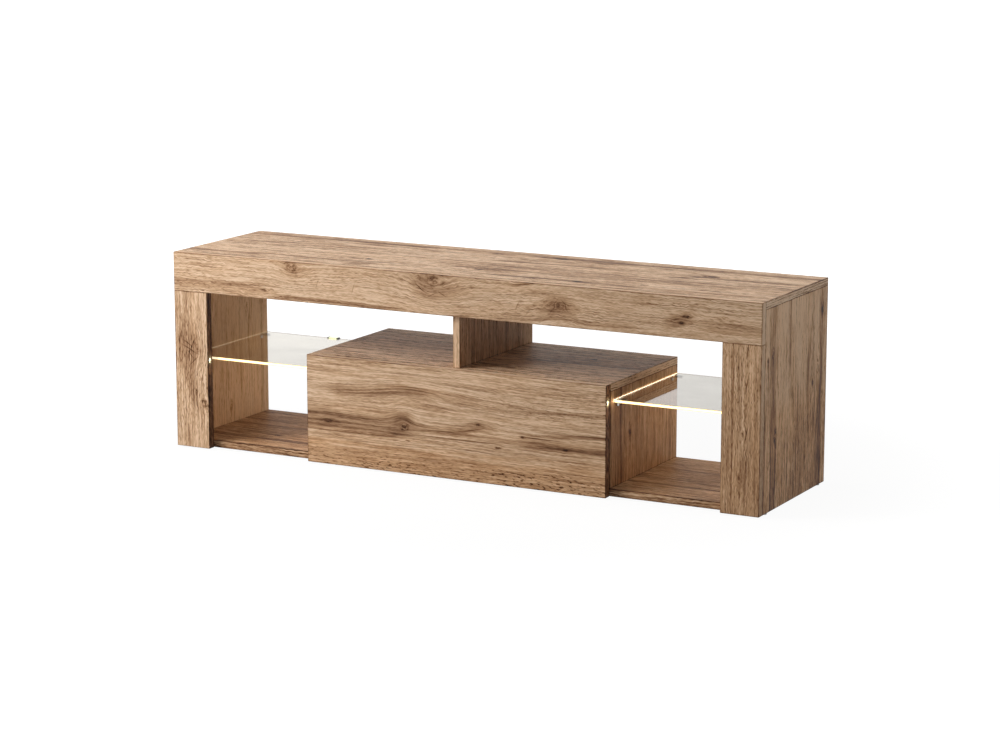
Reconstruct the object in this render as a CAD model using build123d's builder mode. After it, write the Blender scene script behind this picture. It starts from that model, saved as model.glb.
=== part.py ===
from build123d import *
from collections import namedtuple
from math import atan2, cos, hypot, pi, sin, sqrt
import os

os.makedirs("parts", exist_ok=True)

# The stand faces -Y, its length lies along X and it rests on z = 0. All sizes are in millimetres.

# ---- overall ----
width = 1400.0              # over the two side panels
depth = 352.0               # front faces to back edges
board_height = 436.0        # lower edges of the boards to the top surface
glide_height = 3.0          # floor to the lower edges of the boards

# ---- boards ----
carcass_board = 16.0        # top, sides, bottom, box and divider
front_board = 18.0          # apron, posts and flap
back_board = 3.0            # hardboard back of the box
arris = 0.8                 # rounding along every board edge

# ---- front frame ----
apron_height = 86.0
post_width = 85.0

# ---- box in the middle and its drop flap ----
box_width = 718.0           # over the partitions, and the flap's length
box_height = 237.0          # lower edges of the boards to the box's top surface
flap_gap = 3.5              # flap to the front edges of the box
groove_depth = 6.0          # groove that holds the back board
groove_inset = 10.0         # back edges of the boards to the back board
groove_play = 0.15          # each side of the back board
cable_hole_radius = 30.0

# ---- glass shelves ----
glass = 6.0
glass_top = 202.0           # above the lower edges of the boards
glass_setback = 15.0        # behind the front edges of the side panels
glass_back_margin = 3.0
glass_play = 1.0            # each side of a shelf
glass_arris = 0.7

# ---- glass shelf supports ----
support_front_inset = 35.0  # from the front edges of the side panels
support_back_inset = 28.0   # from the back edges
support_reach = 25.0        # tongue under the glass, from the wall
support_width = 10.0
support_thickness = 3.0
support_collar_radius = 5.0
support_collar = 2.5
support_pad = 1.0
support_pad_length = 16.0
support_pad_width = 8.0
support_pad_inset = 1.0     # from the tongue's tip
spigot_radius = 2.5
spigot_length = 8.0

# ---- light clip on each shelf's back edge ----
clip_length = 28.0
clip_depth = 11.0
clip_lip = 1.9
clip_offset = 20.0          # from the shelf's middle towards the box
clip_play = 0.1
lens_length = 20.0
lens_depth = 1.6
lens_inset = 1.0            # below the glass's faces

# ---- fasteners between the boards ----
bore_play = 0.05            # radial play of what sits in a bore
end_play = 0.5              # spare depth at the end of a bore
cam_radius = 7.5
cam_depth = 12.0
cam_distance = 24.0         # cam centre to the seam
cam_slot = 7.8
cam_cross = 7.0
cam_cross_width = 1.6
cam_cross_depth = 2.5
bolt_radius = 3.0
bolt_head_radius = 3.6
bolt_head = 3.0
bolt_thread_radius = 2.5
bolt_thread = 10.0
dowel_radius = 4.0
dowel_chamfer = 0.8
dowel_in_edge = 20.0
dowel_in_face = 10.0
post_dowel = 15.0           # upright dowel between a post and the apron, each way
joint_inset = 60.0          # first fastener from a board's end
dowel_spacing = 32.0        # dowel to the fastener beside it
box_screw_inset = 90.0

# ---- floor glides ----
glide_radius = 7.0
glide_rounding = 0.8
glide_inset = 25.0
glide_nail_radius = 0.9
glide_nail = 10.0

# ---- pivot hinges in the flap's lower edge ----
hinge_inset = 70.0          # hinge centre from the flap's end
pivot_from_face = 7.0       # pivot behind the flap's outer face
pivot_from_edge = 7.0       # pivot above the flap's lower edge
eye_radius = 4.0
pin_radius = 2.0
pin_play = 0.05
base_leaf_width = 14.0
base_leaf_thickness = 4.0
base_leaf_length = 30.0     # let into the bottom panel
base_leaf_play = 0.1
ear_thickness = 2.5
ear_gap = 0.3
notch_play = 0.5
flap_leaf_thickness = 2.0
flap_leaf_height = 34.0
flap_leaf_play = 0.1

# ---- flap stays: a rod that slides through a swivelling brake block ----
stay_radius = 150.0         # flap pivot to both ends of the stay
stay_flap_offset = 10.0     # rod pivot behind the flap's inner face
stay_wall_from_pivot = 60.0  # brake pivot behind the flap pivot
stay_plate_thickness = 2.0
stay_plate_length = 56.0
stay_plate_width = 22.0
stay_plate_screw_spacing = 40.0
stay_gap = 0.3              # between the stay's moving faces
stay_block_length = 26.0
stay_block_width = 12.0
stay_block_below = 6.0
stay_block_above = 14.0
stay_block_rounding = 2.0
stud_radius = 2.5
stud_head_radius = 4.5
stud_head = 1.5
rod_radius = 3.0
rod_play = 0.2
rod_offset = 8.5            # rod axis above the line between the pivots
rod_stop_radius = 5.5
rod_stop = 6.0
rod_eye_radius = 5.5
rod_eye_thickness = 3.0
brake_head_radius = 4.0
brake_head = 4.0
brake_shank_radius = 1.5
brake_shank = 2.0
brake_slot_width = 1.0
brake_slot_depth = 1.2
bracket_width = 18.0
bracket_height = 38.0
bracket_screw_spacing = 24.0
ear_radius = 5.0
pivot_pin_radius = 2.0
pivot_pin_head_radius = 3.5
pivot_pin_head = 1.2

# ---- push latch under the box's top ----
latch_width = 16.0
latch_length = 60.0
latch_height = 14.0
latch_setback = 2.0         # behind the front edge of the box
latch_rounding = 1.5
latch_bore_length = 54.0
latch_screw_inset = 12.0
plunger_radius = 3.0
plunger_play = 0.1
plunger_length = 32.0
plunger_rest_gap = 0.3      # plunger tip to the strike plate
plunger_rounding = 0.5
magnet_radius = 2.0
magnet = 3.0
spring_wire_radius = 0.35
spring_radius = 2.2
spring_pitch = 3.0
strike_width = 20.0
strike_height = 14.0
strike_thickness = 1.0
strike_rounding = 2.0

# ---- bumpers on the partitions ----
bumper_radius = 4.0
bumper_gap = 2.3            # left for pressing the flap in
bumper_inset = 30.0         # below the box's top panel
bumper_rounding = 0.5

# ---- countersunk screws ----
panel_screw_length = 40.0   # boards to boards
panel_screw_head_radius = 5.0
panel_screw_shank_radius = 3.0
panel_screw_head = 3.0
leaf_screw_length = 13.0    # hinge leaves
leaf_screw_head_radius = 3.0
leaf_screw_shank_radius = 1.5
leaf_screw_head = 1.5
stay_screw_length = 12.0    # stay plates and brackets
stay_screw_head_radius = 3.2
stay_screw_shank_radius = 1.7
stay_screw_head = 1.6
latch_screw_length = 22.0
latch_screw_head_radius = 2.8
latch_screw_shank_radius = 1.4
latch_screw_head = 1.4
strike_screw_length = 11.0
strike_screw_head_radius = 2.0
strike_screw_shank_radius = 1.1
strike_screw_head = 0.9
cross_width = 0.8           # driver's cross in the small screws
panel_cross_width = 1.4
panel_cross_depth = 2.0

Screw = namedtuple("Screw", "length head_radius shank_radius head_height")
panel_screw = Screw(panel_screw_length, panel_screw_head_radius, panel_screw_shank_radius, panel_screw_head)
leaf_screw = Screw(leaf_screw_length, leaf_screw_head_radius, leaf_screw_shank_radius, leaf_screw_head)
stay_screw = Screw(stay_screw_length, stay_screw_head_radius, stay_screw_shank_radius, stay_screw_head)
latch_screw = Screw(latch_screw_length, latch_screw_head_radius, latch_screw_shank_radius, latch_screw_head)
strike_screw = Screw(strike_screw_length, strike_screw_head_radius, strike_screw_shank_radius, strike_screw_head)

# ---- places that follow from the sizes ----
y_front = -depth / 2
y_back = depth / 2
y_carcass = y_front + front_board            # front edges of the top, the sides and the divider
y_box = y_carcass + flap_gap                 # front edges of the bottom panel and the box
z_low = glide_height
z_high = glide_height + board_height
z_top_under = z_high - carcass_board
z_apron = z_high - apron_height
z_bottom = z_low + carcass_board             # upper face of the bottom panel
z_box = z_low + box_height
z_box_under = z_box - carcass_board
x_side = width / 2
x_side_in = x_side - carcass_board
x_box = box_width / 2
x_box_in = x_box - carcass_board
y_middle_front = (y_front + y_carcass) / 2   # middle of the front boards
x_side_middle = (x_side + x_side_in) / 2
x_partition_middle = (x_box + x_box_in) / 2
x_post_middle = x_side - post_width / 2
z_top_middle = (z_high + z_top_under) / 2
z_bottom_middle = (z_bottom + z_low) / 2
z_glass = z_low + glass_top
z_glass_under = z_glass - glass

UP, DOWN = (0, 0, 1), (0, 0, -1)
LEFT, RIGHT = (-1, 0, 0), (1, 0, 0)
FORWARD, BACKWARD = (0, -1, 0), (0, 1, 0)


def step(point, direction, distance):
    """The point at a distance from another, along a direction."""
    return tuple(p + d * distance for p, d in zip(point, direction))


# ---- joints between the boards ----
# Each one gives the point on the seam, the way from the edge board into the face board, and both boards.
Cam = namedtuple("Cam", "seam into face edge_board face_board")
Dowel = namedtuple("Dowel", "seam into in_edge in_face edge_board face_board")
Through = namedtuple("Through", "point into face_board edge_board")
cams, dowels_at, screws_at = [], [], []

side_rows = (y_carcass + joint_inset, y_back - joint_inset)
box_rows = (y_box + joint_inset, y_back - joint_inset)
inward = (1, -1)                             # from a fastener towards the middle of its board

for side, outward, name in ((-1, LEFT, "left"), (1, RIGHT, "right")):
    side_panel, post, partition = f"side_panel_{name}", f"front_post_{name}", f"box_partition_{name}"
    to_middle = (-side, 0, 0)
    for y, way in zip(side_rows, inward):
        seam = (side * x_side_middle, y, z_top_under)
        cams.append(Cam(seam, UP, to_middle, side_panel, "top_panel"))
        seam = (side * x_side_middle, y + way * dowel_spacing, z_top_under)
        dowels_at.append(Dowel(seam, UP, dowel_in_edge, dowel_in_face, side_panel, "top_panel"))
    for y, way in zip(box_rows, inward):
        seam = (side * x_side_in, y, z_bottom_middle)
        cams.append(Cam(seam, outward, DOWN, "bottom_panel", side_panel))
        seam = (side * x_side_in, y + way * dowel_spacing, z_bottom_middle)
        dowels_at.append(Dowel(seam, outward, dowel_in_edge, dowel_in_face, "bottom_panel", side_panel))
        seam = (side * x_partition_middle, y, z_box_under)
        cams.append(Cam(seam, UP, to_middle, partition, "box_top_panel"))
        seam = (side * x_partition_middle, y + way * dowel_spacing, z_box_under)
        dowels_at.append(Dowel(seam, UP, dowel_in_edge, dowel_in_face, partition, "box_top_panel"))
    for y, way in ((y_box + box_screw_inset, 1), (y_back - box_screw_inset, -1)):
        screws_at.append(Through((side * x_partition_middle, y, z_low), UP, "bottom_panel", partition))
        seam = (side * x_partition_middle, y + way * dowel_spacing, z_bottom)
        dowels_at.append(Dowel(seam, DOWN, dowel_in_edge, dowel_in_face, partition, "bottom_panel"))
    for share, way in ((0.2, 1), (0.8, -1)):
        z = z_low + share * (z_apron - z_low)
        seam = (side * x_side_middle, y_carcass, z)
        cams.append(Cam(seam, FORWARD, to_middle, side_panel, post))
        seam = (side * x_side_middle, y_carcass, z + way * dowel_spacing)
        dowels_at.append(Dowel(seam, FORWARD, dowel_in_edge, dowel_in_face, side_panel, post))
    seam = (side * x_side_middle, y_carcass, (z_apron + z_top_under) / 2)
    dowels_at.append(Dowel(seam, FORWARD, dowel_in_edge, dowel_in_face, side_panel, "front_apron"))
    seam = (side * x_post_middle, y_middle_front, z_apron)
    dowels_at.append(Dowel(seam, UP, post_dowel, post_dowel, post, "front_apron"))
    for share in (0.15, 0.5, 0.85):
        seam = (side * share * x_side, y_carcass, z_top_middle)
        cams.append(Cam(seam, FORWARD, DOWN, "top_panel", "front_apron"))
        seam = (side * (share * x_side - dowel_spacing), y_carcass, z_top_middle)
        dowels_at.append(Dowel(seam, FORWARD, dowel_in_edge, dowel_in_face, "top_panel", "front_apron"))

for y, way in zip(side_rows, inward):
    cams.append(Cam((0, y, z_top_under), UP, LEFT, "centre_divider", "top_panel"))
    seam = (0, y + way * dowel_spacing, z_top_under)
    dowels_at.append(Dowel(seam, UP, dowel_in_edge, dowel_in_face, "centre_divider", "top_panel"))
for y, way in zip(box_rows, inward):
    screws_at.append(Through((0, y + way * dowel_spacing, z_box_under), UP, "box_top_panel", "centre_divider"))
    seam = (0, y + 2 * way * dowel_spacing, z_box)
    dowels_at.append(Dowel(seam, DOWN, dowel_in_edge, dowel_in_face, "centre_divider", "box_top_panel"))
seam = (0, y_carcass, (z_apron + z_top_under) / 2)
dowels_at.append(Dowel(seam, FORWARD, dowel_in_edge, dowel_in_face, "centre_divider", "front_apron"))

# ---- glass shelf supports: the point on the wall at the spigot's axis, and the way into the wall ----
z_support_top = z_glass_under - support_pad
z_spigot = z_support_top - support_collar_radius
supports_at = []
for side, name in ((-1, "left"), (1, "right")):
    for y in (y_carcass + support_front_inset, y_back - support_back_inset):
        supports_at.append(((side * x_side_in, y, z_spigot), (side, 0, 0), f"side_panel_{name}"))
        supports_at.append(((side * x_box, y, z_spigot), (-side, 0, 0), f"box_partition_{name}"))

# ---- floor glides: the point on the board's lower edge ----
glides_at = []
for side, name in ((-1, "left"), (1, "right")):
    for y in (y_carcass + glide_inset, y_back - glide_inset):
        glides_at.append(((side * x_side_middle, y, z_low), f"side_panel_{name}"))
    for y in (y_box + glide_inset, y_back - glide_inset):
        glides_at.append(((side * x_partition_middle, y, z_low), "bottom_panel"))

# ---- flap hinges ----
y_pivot = y_front + pivot_from_face
z_pivot = z_low + pivot_from_edge
hinges_x = (-(x_box - hinge_inset), x_box - hinge_inset)
ear_inner = base_leaf_width / 2 + ear_gap
ear_outer = ear_inner + ear_thickness
z_notch = z_pivot + eye_radius + notch_play
z_flap_leaf = z_notch + flap_leaf_height
base_screws_at = [(x, y_box + base_leaf_length * share, z_low) for x in hinges_x for share in (0.35, 0.75)]
flap_screws_at = [(x, y_carcass, z_notch + flap_leaf_height * share) for x in hinges_x for share in (0.3, 0.75)]

# ---- flap stays ----
# Both ends are as far from the flap's pivot, so the stay turns half as far as the flap does.
y_rod_pivot = y_carcass + stay_flap_offset
z_rod_pivot = z_pivot + sqrt(stay_radius**2 - (y_rod_pivot - y_pivot) ** 2)
y_block_pivot = y_pivot + stay_wall_from_pivot
z_block_pivot = z_pivot + sqrt(stay_radius**2 - stay_wall_from_pivot**2)
stay_closed = hypot(y_block_pivot - y_rod_pivot, z_block_pivot - z_rod_pivot)
stay_angle = atan2(z_block_pivot - z_rod_pivot, y_block_pivot - y_rod_pivot)
closed_spread = atan2(stay_wall_from_pivot, z_block_pivot - z_pivot)
closed_spread -= atan2(y_rod_pivot - y_pivot, z_rod_pivot - z_pivot)
stay_open = 2 * stay_radius * sin((closed_spread + pi / 2) / 2)
rod_stop_at = stay_open + stay_block_length / 2 + stay_gap
along_stay = (0, cos(stay_angle), sin(stay_angle))
across_stay = (0, -sin(stay_angle), cos(stay_angle))
x_block_outer = x_box_in - stay_plate_thickness - stay_gap
x_block_inner = x_block_outer - stay_block_width
x_rod = (x_block_outer + x_block_inner) / 2
x_ear = x_rod - rod_eye_thickness / 2 - stay_gap           # the flap bracket's ear, face towards the rod
x_bracket = x_ear - ear_thickness                          # its other face
wall_screws_at = [
    (side * (x_box_in - stay_plate_thickness), y_block_pivot, z_block_pivot + way * stay_plate_screw_spacing / 2)
    for side in (-1, 1)
    for way in (-1, 1)
]
x_bracket_screw = x_ear - bracket_width / 2
bracket_screws_at = [
    (side * x_bracket_screw, y_carcass + flap_leaf_thickness, z_rod_pivot + way * bracket_screw_spacing / 2)
    for side in (-1, 1)
    for way in (-1, 1)
]

# ---- push latch ----
y_latch = y_box + latch_setback
z_latch = z_box_under - latch_height / 2
y_strike = y_carcass + strike_thickness
y_plunger = y_strike + plunger_rest_gap
y_latch_bore_end = y_latch + latch_bore_length
z_latch_under = z_box_under - latch_height
latch_screws_at = [
    (side * (latch_width / 2 - latch_screw.head_radius - 0.5 * latch_rounding), y, z_latch_under)
    for side, y in ((-1, y_latch + latch_screw_inset), (1, y_latch + latch_length - latch_screw_inset))
]


# ---- shapes that repeat ----
def slab(x, y, z):
    """A board between two x, two y and two z values."""
    with BuildSketch(Plane.XY.offset(z[0])) as outline:
        with Locations(((x[0] + x[1]) / 2, (y[0] + y[1]) / 2)):
            Rectangle(x[1] - x[0], y[1] - y[0])
    extrude(outline.sketch, amount=z[1] - z[0])


def rod(point, direction, radius, length, mode=Mode.ADD):
    """A round bar, or a bore, that starts at a point."""
    with Locations(Plane(origin=point, z_dir=direction)):
        Cylinder(radius, length, align=(Align.CENTER, Align.CENTER, Align.MIN), mode=mode)


def countersunk(point, direction, screw, mode=Mode.ADD, play=0.0):
    """A countersunk screw, or the hole for one, with its head's face at a point."""
    with Locations(Plane(origin=point, z_dir=direction)):
        low = (Align.CENTER, Align.CENTER, Align.MIN)
        Cone(screw.head_radius + play, screw.shank_radius + play, screw.head_height, align=low, mode=mode)
        Cylinder(screw.shank_radius + play, screw.length + play, align=low, mode=mode)


def cross_recess(point, direction, length, thickness, depth):
    """The driver's cross in a screw head or cam."""
    with Locations(Plane(origin=point, z_dir=direction)):
        low = (Align.CENTER, Align.CENTER, Align.MIN)
        Box(length, thickness, depth, align=low, mode=Mode.SUBTRACT)
        Box(thickness, length, depth, align=low, mode=Mode.SUBTRACT)


def cam_centre(cam):
    return step(step(cam.seam, cam.into, -cam_distance), cam.face, carcass_board / 2)


def machine(board):
    """The bores for every fastener and support that the named board holds."""
    for cam in cams:
        inward_face = tuple(-d for d in cam.face)
        if cam.edge_board == board:
            rod(cam_centre(cam), inward_face, cam_radius + bore_play, cam_depth + end_play, Mode.SUBTRACT)
            away = tuple(-d for d in cam.into)
            rod(cam.seam, away, cam_slot / 2, cam_distance - cam_radius / 2, Mode.SUBTRACT)
        if cam.face_board == board:
            rod(cam.seam, cam.into, bolt_thread_radius + bore_play, bolt_thread + end_play, Mode.SUBTRACT)
    for dowel in dowels_at:
        away = tuple(-d for d in dowel.into)
        if dowel.edge_board == board:
            rod(dowel.seam, away, dowel_radius + bore_play, dowel.in_edge + end_play, Mode.SUBTRACT)
        if dowel.face_board == board:
            rod(dowel.seam, dowel.into, dowel_radius + bore_play, dowel.in_face + end_play, Mode.SUBTRACT)
    for screw in screws_at:
        if board in (screw.face_board, screw.edge_board):
            countersunk(screw.point, screw.into, panel_screw, Mode.SUBTRACT, bore_play)
    for point, into_wall, wall in supports_at:
        if wall == board:
            rod(point, into_wall, spigot_radius + bore_play, spigot_length + end_play, Mode.SUBTRACT)
    for point, carrier in glides_at:
        if carrier == board:
            rod(point, UP, glide_nail_radius + bore_play, glide_nail + end_play, Mode.SUBTRACT)


def save(piece, name):
    piece.part.label = name
    export_step(piece.part, f"parts/{name}.step")


# ---- boards of the carcass ----
with BuildPart() as top_panel:
    slab((-x_side, x_side), (y_carcass, y_back), (z_top_under, z_high))
    fillet(top_panel.edges(), arris)
    machine("top_panel")
save(top_panel, "top_panel")

with BuildPart() as bottom_panel:
    slab((-x_side_in, x_side_in), (y_box, y_back), (z_low, z_bottom))
    fillet(bottom_panel.edges(), arris)
    machine("bottom_panel")
    with BuildSketch(Plane.XY.offset(z_bottom - groove_depth)):
        with Locations((0, y_back - groove_inset - back_board / 2)):
            Rectangle(2 * (x_box_in + groove_depth), back_board + 2 * groove_play)
    extrude(amount=groove_depth, mode=Mode.SUBTRACT)
    with BuildSketch(Plane.XY.offset(z_pivot - base_leaf_thickness / 2 - base_leaf_play)):
        for x in hinges_x:
            with Locations((x, y_box + base_leaf_length / 2)):
                Rectangle(base_leaf_width + 2 * base_leaf_play, base_leaf_length + 2 * base_leaf_play)
    extrude(amount=base_leaf_thickness + 2 * base_leaf_play, mode=Mode.SUBTRACT)
    for point in base_screws_at:
        countersunk(point, UP, leaf_screw, Mode.SUBTRACT, bore_play)
save(bottom_panel, "bottom_panel")

for side, name in ((-1, "left"), (1, "right")):
    with BuildPart() as side_panel:
        slab(sorted((side * x_side_in, side * x_side)), (y_carcass, y_back), (z_low, z_top_under))
        fillet(side_panel.edges(), arris)
        machine(f"side_panel_{name}")
    save(side_panel, f"side_panel_{name}")

    with BuildPart() as front_post:
        slab(sorted((side * (x_side - post_width), side * x_side)), (y_front, y_carcass), (z_low, z_apron))
        fillet(front_post.edges(), arris)
        machine(f"front_post_{name}")
    save(front_post, f"front_post_{name}")

    with BuildPart() as partition:
        slab(sorted((side * x_box_in, side * x_box)), (y_box, y_back), (z_bottom, z_box_under))
        fillet(partition.edges(), arris)
        machine(f"box_partition_{name}")
        with BuildSketch(Plane.XY.offset(z_bottom)):
            with Locations((side * (x_box_in + groove_depth / 2), y_back - groove_inset - back_board / 2)):
                Rectangle(groove_depth, back_board + 2 * groove_play)
        extrude(amount=z_box_under - z_bottom, mode=Mode.SUBTRACT)
        for x, y, z in wall_screws_at:
            if x * side > 0:
                countersunk((x, y, z), (side, 0, 0), stay_screw, Mode.SUBTRACT, bore_play)
    save(partition, f"box_partition_{name}")

with BuildPart() as box_top_panel:
    slab((-x_box, x_box), (y_box, y_back), (z_box_under, z_box))
    fillet(box_top_panel.edges(), arris)
    machine("box_top_panel")
    with BuildSketch(Plane.XY.offset(z_box_under)):
        with Locations((0, y_back - groove_inset - back_board / 2)):
            Rectangle(2 * (x_box_in + groove_depth), back_board + 2 * groove_play)
    extrude(amount=groove_depth, mode=Mode.SUBTRACT)
    for point in latch_screws_at:
        countersunk(point, UP, latch_screw, Mode.SUBTRACT, bore_play)
save(box_top_panel, "box_top_panel")

with BuildPart() as centre_divider:
    slab((-carcass_board / 2, carcass_board / 2), (y_carcass, y_back), (z_box, z_top_under))
    fillet(centre_divider.edges(), arris)
    machine("centre_divider")
save(centre_divider, "centre_divider")

with BuildPart() as front_apron:
    slab((-x_side, x_side), (y_front, y_carcass), (z_apron, z_high))
    fillet(front_apron.edges(), arris)
    machine("front_apron")
save(front_apron, "front_apron")

# The back board stands in the grooves of the bottom panel, the partitions and the box's top.
with BuildPart() as box_back_panel:
    panel_reach = x_box_in + groove_depth - end_play
    panel_base = z_bottom - groove_depth
    panel_height = z_box_under + groove_depth - end_play - panel_base
    with BuildSketch(Plane.XZ.offset(-(y_back - groove_inset))):
        with Locations((0, panel_base + panel_height / 2)):
            Rectangle(2 * panel_reach, panel_height)
        with Locations((0, (z_bottom + z_box_under) / 2)):
            Circle(cable_hole_radius, mode=Mode.SUBTRACT)
    extrude(amount=back_board)
save(box_back_panel, "box_back_panel")

# ---- glass shelves, their supports and their light clips ----
glass_front = y_carcass + glass_setback
glass_back = y_back - glass_back_margin
x_glass_middle = (x_box + x_side_in) / 2
for side, name in ((-1, "left"), (1, "right")):
    with BuildPart() as glass_shelf:
        slab(
            sorted((side * (x_box + glass_play), side * (x_side_in - glass_play))),
            (glass_front, glass_back),
            (z_glass_under, z_glass),
        )
        chamfer(glass_shelf.edges(), glass_arris)
    save(glass_shelf, f"glass_shelf_{name}")

with BuildPart() as shelf_supports:
    for point, into_wall, wall in supports_at:
        out_of_wall = tuple(-d for d in into_wall)
        rod(point, into_wall, spigot_radius, spigot_length)
        rod(point, out_of_wall, support_collar_radius, support_collar)
        nose = support_reach - support_width / 2
        with BuildSketch(Plane.XY.offset(z_support_top - support_thickness)) as tongue:
            with Locations((point[0] + out_of_wall[0] * nose / 2, point[1])):
                Rectangle(nose, support_width)
            with Locations((point[0] + out_of_wall[0] * nose, point[1])):
                Circle(support_width / 2)
        extrude(tongue.sketch, amount=support_thickness)
save(shelf_supports, "shelf_supports")

with BuildPart() as shelf_support_pads:
    with BuildSketch(Plane.XY.offset(z_support_top)):
        for point, into_wall, wall in supports_at:
            with Locations((point[0] - into_wall[0] * (support_reach - support_pad_length / 2 - support_pad_inset), point[1])):
                SlotOverall(support_pad_length, support_pad_width)
    extrude(amount=support_pad)
save(shelf_support_pads, "shelf_support_pads")

clips_x = (-(x_glass_middle - clip_offset), x_glass_middle - clip_offset)
clip_front = glass_back - (clip_depth - glass_back_margin)
with BuildPart() as led_clips:
    for x in clips_x:
        slab(
            (x - clip_length / 2, x + clip_length / 2),
            (clip_front, y_back),
            (z_glass_under - clip_lip - clip_play, z_glass + clip_lip + clip_play),
        )
    fillet(led_clips.edges().filter_by(Axis.X), clip_lip / 2)
    with BuildSketch(Plane.XY.offset(z_glass_under - clip_play)):
        for x in clips_x:
            with Locations((x, (clip_front + glass_back + clip_play) / 2)):
                Rectangle(clip_length, glass_back + clip_play - clip_front)
    extrude(amount=glass + 2 * clip_play, mode=Mode.SUBTRACT)
    with BuildSketch(Plane.XY.offset(z_glass_under + lens_inset)):
        for x in clips_x:
            with Locations((x, glass_back + clip_play + lens_depth / 2)):
                Rectangle(lens_length, lens_depth)
    extrude(amount=glass - 2 * lens_inset, mode=Mode.SUBTRACT)
save(led_clips, "led_clips")

with BuildPart() as led_lenses:
    for x in clips_x:
        slab(
            (x - lens_length / 2, x + lens_length / 2),
            (glass_back + clip_play, glass_back + clip_play + lens_depth),
            (z_glass_under + lens_inset, z_glass - lens_inset),
        )
save(led_lenses, "led_lenses")

# ---- fasteners ----
with BuildPart() as cam_locks:
    for cam in cams:
        centre = cam_centre(cam)
        inward_face = tuple(-d for d in cam.face)
        rod(centre, inward_face, cam_radius, cam_depth)
        bolt_axis = step(centre, inward_face, carcass_board / 2)
        rod(bolt_axis, cam.into, cam_slot / 2, cam_radius + end_play, Mode.SUBTRACT)
        cross_recess(centre, inward_face, cam_cross, cam_cross_width, cam_cross_depth)
save(cam_locks, "cam_locks")

with BuildPart() as cam_bolts:
    for cam in cams:
        head_end = step(cam.seam, cam.into, bolt_head - cam_distance)
        rod(step(cam.seam, cam.into, -cam_distance), cam.into, bolt_head_radius, bolt_head)
        rod(head_end, cam.into, bolt_radius, cam_distance - bolt_head)
        rod(cam.seam, cam.into, bolt_thread_radius, bolt_thread)
save(cam_bolts, "cam_bolts")

with BuildPart() as dowels:
    for dowel in dowels_at:
        start = step(dowel.seam, dowel.into, -dowel.in_edge)
        rod(start, dowel.into, dowel_radius, dowel.in_edge + dowel.in_face)
    chamfer(dowels.edges().filter_by(GeomType.CIRCLE), dowel_chamfer)
save(dowels, "dowels")

with BuildPart() as panel_screws:
    for screw in screws_at:
        countersunk(screw.point, screw.into, panel_screw)
        cross_recess(screw.point, screw.into, panel_screw.head_radius, panel_cross_width, panel_cross_depth)
save(panel_screws, "panel_screws")

with BuildPart() as floor_glides:
    for point, carrier in glides_at:
        rod((point[0], point[1], 0), UP, glide_radius, glide_height)
    fillet(floor_glides.edges().group_by(Axis.Z)[0], glide_rounding)
    for point, carrier in glides_at:
        rod(point, UP, glide_nail_radius, glide_nail)
save(floor_glides, "floor_glides")

# ---- flap and its hinges ----
with BuildPart() as drop_flap:
    slab((-x_box, x_box), (y_front, y_carcass), (z_low, z_box))
    fillet(drop_flap.edges(), arris)
    notch_front = y_pivot - eye_radius - notch_play
    with BuildSketch(Plane.XY.offset(z_low)):
        for x in hinges_x:
            with Locations((x, (notch_front + y_carcass) / 2)):
                Rectangle(2 * (ear_outer + flap_leaf_play), y_carcass - notch_front)
    extrude(amount=z_notch - z_low, mode=Mode.SUBTRACT)
    with BuildSketch(Plane.XY.offset(z_notch)):
        for x in hinges_x:
            with Locations((x, y_carcass - flap_leaf_thickness / 2)):
                Rectangle(2 * (ear_outer + flap_leaf_play), flap_leaf_thickness)
    extrude(amount=flap_leaf_height + flap_leaf_play, mode=Mode.SUBTRACT)
    for point in flap_screws_at:
        countersunk(point, FORWARD, leaf_screw, Mode.SUBTRACT, bore_play)
    for point in bracket_screws_at:
        countersunk(point, FORWARD, stay_screw, Mode.SUBTRACT, bore_play)
    rod((0, y_strike, z_latch), FORWARD, strike_screw.shank_radius + bore_play, strike_screw.length, Mode.SUBTRACT)
save(drop_flap, "drop_flap")

# Each flap leaf is a plate in the flap's inner face with two ears that reach down around the pin.
with BuildPart() as hinge_flap_leaves:
    for x in hinges_x:
        slab((x - ear_outer, x + ear_outer), (y_carcass - flap_leaf_thickness, y_carcass), (z_notch, z_flap_leaf))
        for low in (x - ear_outer, x + ear_inner):
            with BuildSketch(Plane.YZ.offset(low)) as ear:
                with Locations((y_pivot, z_pivot)):
                    Circle(eye_radius)
                with Locations(((y_pivot + y_carcass) / 2, z_pivot)):
                    Rectangle(y_carcass - y_pivot, 2 * eye_radius)
                with Locations((y_carcass - flap_leaf_thickness / 2, (z_pivot + z_notch) / 2)):
                    Rectangle(flap_leaf_thickness, z_notch - z_pivot)
            extrude(ear.sketch, amount=ear_thickness)
            rod((low, y_pivot, z_pivot), RIGHT, pin_radius + pin_play, ear_thickness, Mode.SUBTRACT)
    for point in flap_screws_at:
        countersunk(point, FORWARD, leaf_screw, Mode.SUBTRACT, bore_play)
save(hinge_flap_leaves, "hinge_flap_leaves")

with BuildPart() as hinge_pins:
    for x in hinges_x:
        rod((x - ear_outer, y_pivot, z_pivot), RIGHT, pin_radius, 2 * ear_outer)
save(hinge_pins, "hinge_pins")

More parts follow.
